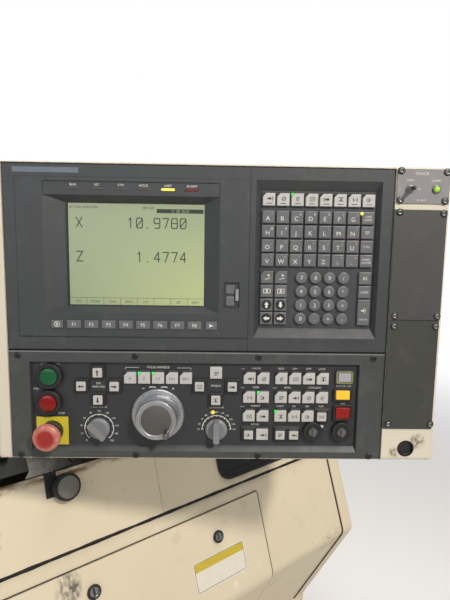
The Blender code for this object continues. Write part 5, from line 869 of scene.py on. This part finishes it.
def lamp_dome(x, down, level, radius):
    """A small round lens: a quarter circle turned about its axis."""
    angle = np.linspace(0, math.pi / 2 * 0.96, 6)
    return on_panel(turned(np.stack([np.cos(angle), np.sin(angle) * 0.8], 1) * radius, 14), x, down, level)


def make_screws_and_lamps():
    """Fixings of the lower fascia and of the right column, and the two lit yellow marks."""
    piece("fascia_screws", copies(socket_screw(5.2, 1.6), FASCIA_SCREWS), black)
    small = copies(socket_screw(4.1, 2.4), PLATE_SCREWS, PLATE_FACE + 0.5)
    washer = turned([(5.6, PLATE_FACE), (5.6, PLATE_FACE + 0.4), (5.2, PLATE_FACE + 0.6)], 24)
    piece("plate_screws", small, turned_steel)
    piece("plate_washers", copies(washer, PLATE_SCREWS), black)
    lamps = [lamp_dome(*CAPS_LAMP, BOARD_TOP, 2.6), lamp_dome(*OVERRIDE_LAMP, WELL_LEVEL, 3.0)]
    piece("yellow_key_lamps", lamps, yellow_lamp)


BLOCK_WORDS = (("CHUCK", 400.5, 0), ("SLIDE", 400.5, 1), ("TURRET", 400.5, 2), ("MODE", 400.5, 3), ("FEED", 439, 0),
               ("DRY", 461, 0), ("STEP", 482, 0), ("LOCK", 503, 0), ("QUILL", 450, 1), ("COOLANT", 493, 1),
               ("LIGHT", 439, 2), ("OIL", 461, 2), ("AIR", 482, 2), ("CHIP", 503, 2))
WELL_WORDS = (("CYCLE START", 83, 303.6, 3.3), ("HOLD", 60.5, 343, 2.6), ("STOP", 98, 382, 3.0),
              ("FEED RATE", 156, 371, 3.6), ("JOG", 156, 333.5, 2.8), ("MAIN AXIS", 156, 339, 2.8),
              ("PULSE HANDLE", 248.5, 307.2, 3.6), ("SPINDLE", 338, 336, 3.0), ("OVERRIDE", 339.5, 370.5, 3.4),
              ("POWER ON", 538, 334.5, 3.0), ("OFF", 538, 363.5, 3.0), ("KEY", 536, 390, 2.7), ("EDIT", 491, 390, 2.7))
WORD_RISE = 14.6
HEADING_DOWN = 308
ARCS_DOWN = 340
GROUP_LINES = ((380, 308.6), (380, 338.8), (380, 369), (430, 338.8))
LOCK_DOT = (506, 401)


def make_well_print():
    """White words, brackets and marks on the well's floor."""
    level = WELL_PRINT
    words = list(WELL_WORDS) + [(text, x, BLOCK_ROWS[row] - WORD_RISE, 2.9) for text, x, row in BLOCK_WORDS]
    lettering("well_words", level, words, print_white)
    brackets, arcs = [], [bar_sign(0.9, 3.4, level, 23, -1)]
    for side in (-1, 1):
        brackets += [bar_sign(21, 0.6, level, side * 40), bar_sign(0.6, 3, level, side * 50.5, -1.5)]
        arcs += [ring_sign(17, 1.4, level, side * 9, -15, 1.25, 1.9, 8), bar_sign(3.4, 0.9, level, side * 23, -1)]
    marks = set_on_panel(brackets, WHEEL_PLACE[0], HEADING_DOWN) + set_on_panel(arcs, WHEEL_PLACE[0], ARCS_DOWN)
    marks += copies(bar_sign(6, 0.5, level), GROUP_LINES) + copies(ring_sign(2.6, 2.6, level), [LOCK_DOT])
    piece("well_marks", marks, print_white)


# Display: where the film lies, and what is drawn on it.
FILM = (114, 318, 59, 211.5)
FILM_BORDER = (110.4, 317.6, 58.4, 212.6)
FILM_LEVEL = -12 + PRINT_LIFT
FILM_TEXT = 3.4
HEADER_BAR = (246, 316, 66, 72)
SOFT_LINE = (114, 318, 200.6, 201.1)
HEADER_WORDS = (("ACTUAL POSITION", 116, 64.5, FILM_TEXT, "LEFT"), ("08:15:30", 242, 64.5, FILM_TEXT, "RIGHT"))
BAR_DIGITS = ("12  08  06:30", 281, 69, 3.6)
CELL_LINE = 0.5
CELL_TOP = 201
SOFT_WORD_DOWN = 206.5
SOFT_WORDS = ("POS", "WORK", "TOOL", "ZERO", "LIST", "", "SET", "NEXT")
READOUTS = (("X", "10.9780", 87.2), ("Z", "1.4774", 138))
READOUT_LETTER = 130
READOUT_LAST = 285.6
ROUND = ((0.15, 0), (0.85, 0), (1, 0.15), (1, 0.85), (0.85, 1), (0.15, 1), (0, 0.85), (0, 0.15), (0.15, 0))
STROKES = {
    "0": (ROUND, ((0.1, 0.2), (0.9, 0.8))), "1": (((0.2, 0.8), (0.5, 1), (0.5, 0)),), ".": (((0.3, 0), (0.4, 0)),),
    "4": (((0.75, 0), (0.75, 1), (0, 0.3), (1, 0.3)),), "7": (((0, 1), (1, 1), (0.4, 0)),),
    "8": (ROUND, ((0.1, 0.5), (0.9, 0.5))), "9": (ROUND[:7] + ((0, 0.6), (0.15, 0.47), (1, 0.47)),),
    "X": (((0, 0), (1, 1)), ((0, 1), (1, 0))), "Z": (((0, 1), (1, 1), (0, 0), (1, 0)),)}
STROKE_SIZE = np.array((8.6, 14.6))
STROKE_PITCH = 13.1
STROKE_LINE = 1.5


def stroke_letter(letter, x, down):
    """One readout letter as straight strokes: each row of points in a unit square is scaled and joined by bars."""
    bars = []
    for row in STROKES[letter]:
        points = (np.array(row) - 0.5) * STROKE_SIZE
        for start, end in zip(points, points[1:]):
            middle, (across, up) = (start + end) / 2, end - start
            bars.append(bar_sign(math.hypot(across, up) + STROKE_LINE * 0.8, STROKE_LINE, FILM_LEVEL, x + middle[0],
                                 middle[1] - down, math.atan2(up, across)))
    return bars


def field(left, right, top, bottom, level=FILM_LEVEL):
    """A flat field between its edges, counted from the panel's left and top."""
    return flat_sign([(left, -bottom), (right, -bottom), (right, -top), (left, -top)], level)


def make_display():
    """The film's readouts, header, soft key row and the black border round it."""
    left, right, top, bottom = FILM
    out_left, out_right, out_top, out_bottom = FILM_BORDER
    border = [field(out_left, left, out_top, out_bottom), field(left, out_right, out_top, top),
              field(left, out_right, bottom, out_bottom)]
    piece("film_border", border, print_dark)
    cell = (right - left) / len(SOFT_WORDS)
    ink = [field(*HEADER_BAR), field(*SOFT_LINE)]
    for i in range(1, len(SOFT_WORDS)):
        x = left + cell * i
        ink.append(field(x - CELL_LINE / 2, x + CELL_LINE / 2, CELL_TOP, bottom))
    for letter, number, down in READOUTS:
        ink += stroke_letter(letter, READOUT_LETTER, down)
        for place, digit in enumerate(reversed(number)):
            ink += stroke_letter(digit, READOUT_LAST - place * STROKE_PITCH, down)
    piece("film_marks", ink, lcd_ink)
    words = [(text, left + cell * (i + 0.5), SOFT_WORD_DOWN, FILM_TEXT) for i, text in enumerate(SOFT_WORDS) if text]
    lettering("film_words", FILM_LEVEL, HEADER_WORDS + tuple(words), lcd_ink, 4)
    lettering("film_bar_digits", FILM_LEVEL + PRINT_LIFT, [BAR_DIGITS], display, 4)


# The lamp strip over the display.
LAMP_NAMES = (("RUN", 125), ("SET", 160), ("STM", 195), ("HOLD", 228), ("LIMIT", 264), ("ALARM", 299))
LAMP_BAR = (20, 3.6, 1.2)
LAMP_DOWN = 38.5
NAME_DOWN = 33


def make_lamp_strip():
    """The names over the six status bars: one bar is lit yellow, one is dull red and four are dark."""
    lettering("lamp_names", -1.5 + PRINT_LIFT, [(text, x, NAME_DOWN, 3.4) for text, x in LAMP_NAMES], print_white)
    raised = cap(*LAMP_BAR, [(0, -1.6), (0, -0.9), (0.5, -0.5)], steps=4)
    low = cap(*LAMP_BAR, [(0, -1.6), (0, -1.2), (0.5, -1.0)], steps=4)
    for name, bar, places, material in (("lit_lamp_bar", raised, LAMP_NAMES[4:5], yellow_lamp),
                                        ("dull_lamp_bar", raised, LAMP_NAMES[5:], red_bar),
                                        ("dark_lamp_bars", low, LAMP_NAMES[:4], unlit_bar)):
        piece(name, copies(bar, [(x, LAMP_DOWN) for _, x in places]), material)


BADGE_SIZE = (96, 8)
BADGE_PLACE = (86, 13)
# Dark lines drawn for the grooves: painted shade.
GROOVE_SHADES = ((385, 386.2, 5, 279), (40, 385, 258.4, 260.4), (40, 385, 22, 22.6), (40, 40.8, 22, 260))
# A pale line on the lip under the fascias' seam: painted highlight.
LIP_HIGHLIGHT = (22.5, 599, 281.8, 283.6)


def make_fascia_lines():
    """The bare badge, dark lines of painted shade for the grooves round the display module and a pale line of painted
    highlight on the lip under the fascias' seam.
    """
    piece("bare_badge", [on_panel(plate(*BADGE_SIZE, -0.2, 0.5), *BADGE_PLACE)], badge_metal)
    piece("fascia_groove_painted_shade", [field(*edges, PRINT_LIFT) for edges in GROOVE_SHADES], print_dark)
    piece("fascia_lip_painted_highlight", [field(*LIP_HIGHLIGHT, PRINT_LIFT)], lip_highlight_grey)


# Side catch and the column's toggle, lamp, hole and words.
CATCH_PLACE = (360, 192.5)
PAD_PLACES = ((358, 184.5), (358, 203.0))
LEVER_PLACE = (369, 192.5)
TOGGLE_PLACE = (620, 32)
COLUMN_LAMP = (659, 32)
HOLE_PLACE = (638.5, 433)
HOLE_RADIUS = 11.6
# Each gap's place, width, height and how high its black strip of painted shade stands.
COLUMN_GAP_SHADES = ((599.4, 230.6, 3.0, 339, 0.6), (640, 53.8, 78, 1.3, 0.5), (639, 227.7, 77, 1.0, 2.6))
COLUMN_WORDS = (("I", 605, 32, 3.2), ("O", 634, 32, 3.2), ("CHUCK", 637, 9.5, 4.0), ("OPEN", 620, 19.5, 3.0),
                ("CLAMP", 658, 19.5, 3.0), ("IN  OUT", 638, 48, 2.6))


def make_catch():
    """The catch beside the display: a frame round a dark back, two pads and a bright lever."""
    frame_section = [(-1.4, -2), (0.6, -2), (0.6, 0.5), (-1.0, 0.7)]
    piece("catch_frame", [on_panel(rim(outline(25, 40, 1.2, steps=3), frame_section), *CATCH_PLACE)], fascia)
    pad = cap(13, 13, 1, [(0, -4), (0, -1.2), (0.6, -0.8), (2, -1.0)], steps=3)
    piece("catch_pads", copies(pad, PAD_PLACES), dark_key)
    piece("catch_back", [on_panel(plate(23.6, 38.6, -2.9, -2.6), *CATCH_PLACE)], board_plastic)
    lever = cap(3.2, 18, 1.2, [(0, -2.6), (0, 2.6), (0.5, 3.2)], steps=4)
    piece("catch_lever", [on_panel(lever, *LEVER_PLACE)], wheel_metal)


def make_column():
    """The right column's toggle, lamp, grommet with a black disc of painted shade in its hole, black strips of painted
    shade in the gaps round its plates, and its words.
    """
    level = PLATE_FACE
    nut = turned([(6.6, level), (6.6, level + 1.6), (5.8, level + 2.2), (3.4, level + 2.2)], 6)
    bat = [(2.4, 0), (2.2, 3), (2.6, 8), (3.0, 13), (3.1, 15), (2.6, 16.6), (1.2, 17.2)]
    piece("toggle_nut", [on_panel(nut, *TOGGLE_PLACE)], turned_steel)
    piece("toggle_bat", [on_panel(turned(bat, 18), *TOGGLE_PLACE, level)], black)
    ring_piece("lamp_bezel", COLUMN_LAMP, 4.1, 6.0, level, level + 2.4, turned_steel)
    piece("column_lamp", [lamp_dome(*COLUMN_LAMP, level + 2.6, 4.2)], lime_lamp)
    ring_piece("hole_grommet", HOLE_PLACE, HOLE_RADIUS, 13.2, -2, 2.1, rubber)
    # A black disc in the hole: painted shade of its inside.
    piece("hole_painted_shade", [on_panel(turned([(HOLE_RADIUS, -3.2), (HOLE_RADIUS, -2.6)], 24), *HOLE_PLACE)], print_dark)
    # Black strips in the gaps round the plates: painted shade.
    gaps = [on_panel(plate(width, height, 0.1, high), x, down) for x, down, width, height, high in COLUMN_GAP_SHADES]
    piece("column_gap_painted_shade", gaps, print_dark)
    lettering("column_words", level + 0.1, COLUMN_WORDS, print_white)


# The machine's front: it leans back above a fold, and the lower body is bent once at its knee. Places are (y, z).
FRONT_LEAN = 0.35
FOLD = (-600, 860)
KNEE = np.array((-683, 615))
KNEE_BEND = 35
TUCK = (-493, 270)
SLOPE = math.hypot(1, FRONT_LEAN)
LEAN_TURN = math.atan(FRONT_LEAN)
ON_FRONT = (Matrix.Translation((0, FOLD[0] * MM, FOLD[1] * MM))
            @ Matrix.Rotation(math.pi / 2 - LEAN_TURN, 4, "X"))
IN_MACHINE = Matrix()
COVER_EDGES = (-620.8, 791.3)
COVER_HEIGHTS = (822.5, 300)
CAP_SEAM = 1096.2
SEAM_WIDTH = 3.4
SHEET_STEP = 4.1
SPINDLE_AXIS = (-0.060, 1.100)
TURRET_AXIS = (0.1769, 1.3369)


def front_line(out, top, bottom, steps=9):
    """The lower body's front seen from its end, rows of (y, z) from top to bottom: a straight line down to the
    knee, an arc of the bend's radius and a straight line down to the tuck, all set off outwards by out."""
    up = np.array((FRONT_LEAN, 1)) / SLOPE
    down = (TUCK - KNEE) / np.linalg.norm(TUCK - KNEE)
    half = math.acos(up @ down) / 2
    inward = (up + down) / np.linalg.norm(up + down)
    centre = KNEE + inward * KNEE_BEND / math.sin(half)
    middle = math.atan2(-inward[1], -inward[0]) % math.tau
    angle = middle + np.linspace(half - math.pi / 2, math.pi / 2 - half, steps)
    bend = centre + (KNEE_BEND + out) * np.stack([np.cos(angle), np.sin(angle)], 1)
    return np.array([bend[0] + up * (top - bend[0, 1]) / up[1], *bend,
                     bend[-1] + down * (bottom - bend[-1, 1]) / down[1]])


def run_down(left, right, low, high, top, bottom):
    """A strip down the body's front: its section is a rectangle from left to right and low to high above it."""
    inner, outer = front_line(low, top, bottom), front_line(high, top, bottom)
    corners = [np.insert(line, 0, x, 1) for x, line in ((left, inner), (right, inner), (right, outer), (left, outer))]
    return stack(np.stack(corners, 1))


def slab_on_front(left, right, low, high, back, front):
    """A plate on the leaning front, in the front's own frame: its height is measured up the slope."""
    return moved(plate(right - left, high - low, back, front), (left + right) / 2, (low + high) / 2)


def up_slope(height):
    """How far up the leaning front a height lies from the fold."""
    return (height - FOLD[1]) * SLOPE


def make_seals():
    """A black strip of painted shade along the fold's gap, thicker and thinner along it (its radius is the sum of
    three sines), and dark strips of painted shade in the seams round the cover and beside both end castings."""
    along = np.linspace(-1.095, 1.095, 260)
    radius = 1 + 0.10 * np.sin(along * 41) + 0.08 * np.sin(along * 97 + 1.3) + 0.05 * np.sin(along * 233)
    angle = np.arange(10) / 10 * math.tau
    rings = np.empty((len(along), len(angle), 3))
    rings[..., 0] = along[:, None] / MM
    rings[..., 1] = FOLD[0] + 1.0 + np.outer(radius, np.cos(angle)) * 3.4
    rings[..., 2] = FOLD[1] - 0.6 + np.outer(radius, np.sin(angle)) * 3.9
    # The black strip in the fold is painted shade of the gap between guard and body.
    piece("fold_gap_painted_shade", [stack(rings)], foam, "machine", IN_MACHINE)
    (left, right), (top, bottom) = COVER_EDGES, COVER_HEIGHTS
    low, high = 0.2 - SHEET_STEP, -1.6
    lines = [run_down(right, right + 2.4, low, -0.5, top, bottom), run_down(left - 1.8, left, low, high, top, bottom)]
    points, faces = moved(cap(right - left, 1.9, 0.4, [(0, 0), (0, 2.2), (0.3, 2.5)], steps=2), (left + right) / 2,
                          1.4, -2.3)
    lines.append((points @ np.array(ON_FRONT.to_3x3()).T + (0, *front_line(high, top, bottom)[0]), faces))
    seams = [sorted((side * CAP_SEAM, side * (CAP_SEAM + SEAM_WIDTH))) for side in (-1, 1)]
    lines += [run_down(*edges, low, -0.8, FOLD[1], TUCK[1]) for edges in seams]
    # Dark strips in the seams round the cover and beside the end castings: painted shade of the gaps.
    piece("cover_seam_painted_shade", lines, seam_shade_strip, "machine", IN_MACHINE)
    caps = [slab_on_front(*edges, up_slope(862), up_slope(1598), -2, 0.3) for edges in seams]
    piece("end_casting_seam_painted_shade", caps, seam_shade_strip, "machine", ON_FRONT)


def on_front_box(name):
    """A CAD piece's box in the leaning front's own frame: left, right, low, high, proudest level and middle."""
    source = nodes[name]
    points = np.empty(len(source.data.vertices) * 3)
    source.data.vertices.foreach_get("co", points)
    place = np.array(ON_FRONT.inverted() @ source.matrix_world)
    points = (points.reshape(-1, 3) @ place[:3, :3].T + place[:3, 3]) / MM
    (left, low, _), (right, high, proud) = points.min(0), points.max(0)
    return left, right, low, high, proud, ((left + right) / 2, (low + high) / 2)


def front_piece(name, part, place, material, body="machine"):
    """One part in the leaning front's own frame, set at a place on it."""
    return piece(name, [moved(part, *place)], material, body, ON_FRONT)


def make_window_rims():
    """Moulded rubber over each window's rim: two rounded beads with the groove of the locking strip between."""
    section = [(9.9, -5.9), (9.9, -0.6), (8.4, 1.6), (4.2, 2.7), (1.3, 2.5), (0.5, 1.2), (-0.5, 1.2), (-1.3, 2.5),
               (-5.4, 2.3), (-9.2, -0.4), (-9.6, -3.0), (-9.1, -3.0), (-9.05, 0.1), (9.2, 0.1), (9.2, -5.9)]
    for name, body in (("guard_window", "machine"), ("door_window", "door")):
        left, right, low, high, proud, middle = on_front_box(name)
        path = outline(right - left - 18, high - low - 18, 26, steps=8)
        raised = [(out, proud + level) for out, level in section]
        front_piece(name + "_rubber", rim(path, raised), middle, rubber, body)


def make_quarter_turns():
    """Each stud's black moulded ring, a dark bar of painted shade for its slot and a foam collar down to the cover."""
    for name in ("quarter_turn_1", "quarter_turn_2"):
        *_, proud, middle = on_front_box(name)
        section = [(3.4, -3.4), (3.4, -0.6), (2.2, 1.5), (0.2, 2.1), (-1.7, 1.0), (-1.7, 0.1), (3.1, 0.1), (3.1, -3.4)]
        ring = rim(outline(23, 23, 11.5, steps=9), [(out, proud + level) for out, level in section])
        front_piece(name + "_ring", ring, middle, black, name)
        # The slot's dark bar is painted shade.
        front_piece(name + "_slot_painted_shade", bar_sign(2.4, 14.5, proud + 0.15), middle, print_dark, name)
        collar = rim(outline(21, 21, 10.5, steps=7), [(2.2, -2.4), (2.0, 0), (-2.4, 0), (-2.4, -2.4)])
        front_piece(name + "_foam", collar, middle, foam)


CARD = (553.5, 714.0, up_slope(663), up_slope(732))


def make_bare_card():
    """The bare card on the cover, without a word on it: an off-white sheet, a mustard band and a thin border."""
    left, right, low, high = CARD
    level = (FOLD[0] - front_line(0, FOLD[1], TUCK[1])[0, 0]) * math.cos(LEAN_TURN) + 0.1
    middle = ((left + right) / 2, (low + high) / 2)
    width, height = right - left, high - low
    card = cap(width, height, 5, [(0, level), (0, level + 0.3), (0.1, level + 0.4)])
    front_piece("bare_card", card, middle, card_white)
    under, over = level + 0.3, level + 0.5
    band = cap(width - 9, 19, 1, [(0, under), (0, over)], steps=3)
    front_piece("bare_card_band", band, (middle[0], high - 14.5), card_yellow)
    edge = rim(outline(width - 8, height - 8, 3, steps=4), [(0.5, under), (0.5, over), (-0.5, over), (-0.5, under)])
    front_piece("bare_card_border", edge, middle, print_dark)


SILL_TOP = 1009
CHANNEL_ENDS = (-1090, 492)


def make_sill_channel():
    """The rusted channel behind the sill's lip that the door's lower edge runs over, with its drip edge."""
    lip = FOLD[0] + FRONT_LEAN * (SILL_TOP - FOLD[1]) + 17
    section = [(lip, 997.5), (lip, 990.5), (lip + 27, 987.5), (lip + 30, 955), (lip + 32, 955), (lip + 29.5, 990.5)]
    piece("sill_channel", [extruded(section, *CHANNEL_ENDS)], rusted, "machine", IN_MACHINE)


def make_bumper_bracket():
    """The door stop's black bracket, half hidden behind its disc, with one screw, and the disc's worn face."""
    left, right, low, high, proud, middle = on_front_box("door_bumper")
    tab = slab_on_front(left - 9, left + 16, low + 12, high + 5, 0.2, 3.2)
    head = moved(cap(7, 7, 3.5, [(0, 3.2), (0, 4.8), (0.8, 5.6)]), left - 3, high - 2)
    piece("bumper_bracket", [tab, head], black, "machine", ON_FRONT)
    worn = turned([(22, proud - 0.6), (22, proud + 0.2), (20.6, proud + 1.0)], 40)
    front_piece("bumper_face", worn, middle, bumper_grey)


BOLT_HEIGHT = 5
BOLT_SOCKET = 0.55


def bolt_circle(name, body, place, circle, count, radius):
    """Socket-head bolts on a circle: each is a turned cap whose middle is sunk to its socket's depth."""
    h = BOLT_HEIGHT
    bolt = turned([(radius, -0.2), (radius, h * 0.8), (radius * 0.86, h), (radius * 0.55, h),
                   (radius * 0.5, h * BOLT_SOCKET)], 12)
    angles = [math.tau * i / count for i in range(count)]
    piece(name, [moved(bolt, circle * math.cos(a), circle * math.sin(a)) for a in angles], dark_steel, body, place)


def end_face(name, axis, side):
    """The frame of a turning piece's face, on its axis: z points out of the face, to the right or the left."""
    box = [(nodes[name].matrix_world @ Vector(corner)).x for corner in nodes[name].bound_box]
    face = max(box) if side > 0 else min(box)
    return Matrix.Translation((face, *axis)) @ Matrix.Rotation(side * math.pi / 2, 4, "Y")


def make_working_details():
    """Bolts on the chuck's face between the jaws, bolts on the turret's disc, and the disc's hub."""
    bolt_circle("chuck_bolts", "spindle", end_face("chuck_body", SPINDLE_AXIS, 1), 76, 3, 8)
    turret = end_face("turret_disc", TURRET_AXIS, -1)
    bolt_circle("turret_bolts", "turret", turret, 52, 8, 7)
    hub = turned([(34, -0.2), (34, 9), (30, 12), (9, 12), (7, 9)], 40)
    piece("turret_hub", [hub], turned_steel, "turret", turret)


LOUVRE = np.array([(0, 0), (7, 1.5), (9, 5), (6, 9), (0, 15), (-0.2, 15), (-0.2, 0)])
LOUVRE_WIDTH = 160
LOUVRE_ROWS = 9
LOUVRE_PITCH = 32
LOUVRE_SIDE = 240
LOUVRE_RISE = 160
HINGE_HEIGHTS = (450, 900, 1350)


def make_cabinet_details():
    """Pressed louvres on the electrical cabinet's door, each a half-round hood with an open lower edge, and the
    door's three hinges."""
    door = nodes["cabinet_door"]
    corners = np.array([door.matrix_world @ Vector(corner) for corner in door.bound_box]) / MM
    (left, _, low), (right, rear, _) = corners.min(0), corners.max(0)
    hoods = []
    for column in (-1, 1):
        start = (left + right - LOUVRE_WIDTH) / 2 + column * LOUVRE_SIDE
        for row in range(LOUVRE_ROWS):
            hood = LOUVRE + (rear, low + LOUVRE_RISE + row * LOUVRE_PITCH)
            hoods.append(extruded(hood, start, start + LOUVRE_WIDTH))
    piece("cabinet_louvres", hoods, cream, "cabinet_door", IN_MACHINE)
    knuckle = turned([(7, 0), (7, 59), (6, 60)], 20)
    pins = [moved(knuckle, left - 4, rear + 3, height) for height in HINGE_HEIGHTS]
    piece("cabinet_hinges", pins, chrome, "machine", IN_MACHINE)


for make in (make_keyboard, make_soft_keys, make_lower_keys, make_button_surrounds):
    make()
make_scale("feed", FEED_PLACE, FEED_ARC, range(0, 201, 20))
make_scale("override", OVERRIDE_PLACE, OVERRIDE_ARC, range(50, 151, 10))
for make in (make_handwheel_details, make_screws_and_lamps, make_well_print, make_display, make_lamp_strip,
             make_fascia_lines, make_catch, make_column, make_seals, make_window_rims, make_quarter_turns,
             make_bare_card, make_sill_channel, make_bumper_bracket, make_working_details, make_cabinet_details):
    make()


def make_camera():
    """The photograph's view: a lens as long as its frame's height suits, level but for a slight tilt."""
    data = bpy.data.cameras.new("camera")
    data.lens = CAMERA_LENS
    data.clip_start = 0.02
    made = link_object("camera", data)
    made.location = CAMERA_PLACE
    made.rotation_euler = Euler([math.radians(a) for a in CAMERA_TURN])
    bpy.context.scene.camera = made


def area_light(name, place, aim, size, power, tint):
    """A soft rectangular lamp that faces a point."""
    data = bpy.data.lights.new(name, "AREA")
    data.shape = "RECTANGLE"
    data.size, data.size_y = size
    data.energy = power
    data.color = linear(tint)[:3]
    made = link_object(name, data)
    made.location = place
    made.rotation_euler = (Vector(aim) - Vector(place)).to_track_quat("-Z", "Y").to_euler()


# The floor's size, and how far from the machine's middle it starts and ends to fade to white, in metres.
FLOOR_SIZE = 24
FADE_START = 2.4
FADE_END = 6.0


def make_floor():
    """A plain pale floor that keeps the shadow near the machine and fades to white further off."""
    bpy.ops.mesh.primitive_plane_add(size=FLOOR_SIZE, location=(0, 0, 0))
    floor = bpy.context.object
    floor.name = "floor"
    material = bpy.data.materials.new("pale_floor")
    material.use_nodes = True
    tree = material.node_tree
    shader = tree.nodes["Principled BSDF"]
    camera_ray = add(tree, "LightPath", {}).outputs["Is Camera Ray"]
    shown = add(tree, "Mix", {0: camera_ray, 6: "D9D6CF", 7: "FFFFFF"}, data_type="RGBA")
    wire(tree, shown.outputs[2], shader.inputs["Base Color"])
    shader.inputs["Roughness"].default_value = 0.7
    far = add(tree, "VectorMath", {0: add(tree, "NewGeometry", {}).outputs["Position"]}, operation="LENGTH")
    fade = add(tree, "MapRange", {0: far.outputs["Value"], 1: FADE_START, 2: FADE_END},
               interpolation_type="SMOOTHSTEP")
    seen = add(tree, "Math", {0: fade, 1: camera_ray}, operation="MULTIPLY")
    white = add(tree, "Emission", {"Color": "FFFFFF", "Strength": 1.0})
    wire(tree, add(tree, "MixShader", {0: seen, 1: shader, 2: white}), tree.nodes["Material Output"].inputs["Surface"])
    floor.data.materials.append(material)


def make_world():
    """Even daylight from all round; the camera sees it as white, directly and through glass."""
    world = bpy.data.worlds.new("world")
    world.use_nodes = True
    tree = world.node_tree
    daylight = tree.nodes["Background"]
    daylight.inputs["Color"].default_value = linear("F4F3F1")
    daylight.inputs["Strength"].default_value = 0.37
    white = add(tree, "Background", {"Color": "FFFFFF", "Strength": 1.0})
    path = add(tree, "LightPath", {})
    seen = add(tree, "Math", {0: path.outputs["Is Camera Ray"], 1: path.outputs["Is Transmission Ray"]},
               operation="MAXIMUM")
    wire(tree, add(tree, "MixShader", {0: seen, 1: daylight, 2: white}), tree.nodes["World Output"].inputs["Surface"])
    bpy.context.scene.world = world


# Each lamp's name, place, aim, size, power and tint.
LAMPS = (("window_light", ON_PANEL @ Vector((1.7, 1.6, 2.3)), (0.4, -0.7, 1.1), (0.28, 0.28), 86, "FFF6EC"),
         ("fill_light", (-2.2, -2.2, 2.2), (0.3, -0.5, 1.1), (2.2, 1.6), 18, "F1F6FF"),
         ("ceiling_light", (0.8, -1.2, 3.4), (0.3, -0.3, 1.0), (2.6, 1.4), 22, "FFFBF6"),
         ("rear_light", (0.4, 3.2, 2.8), (0.0, 0.4, 0.9), (2.6, 1.8), 62, "FFFFFF"))
make_camera()
make_floor()
make_world()
for lamp in LAMPS:
    area_light(*lamp)
bpy.context.scene.view_settings.view_transform = "Standard"
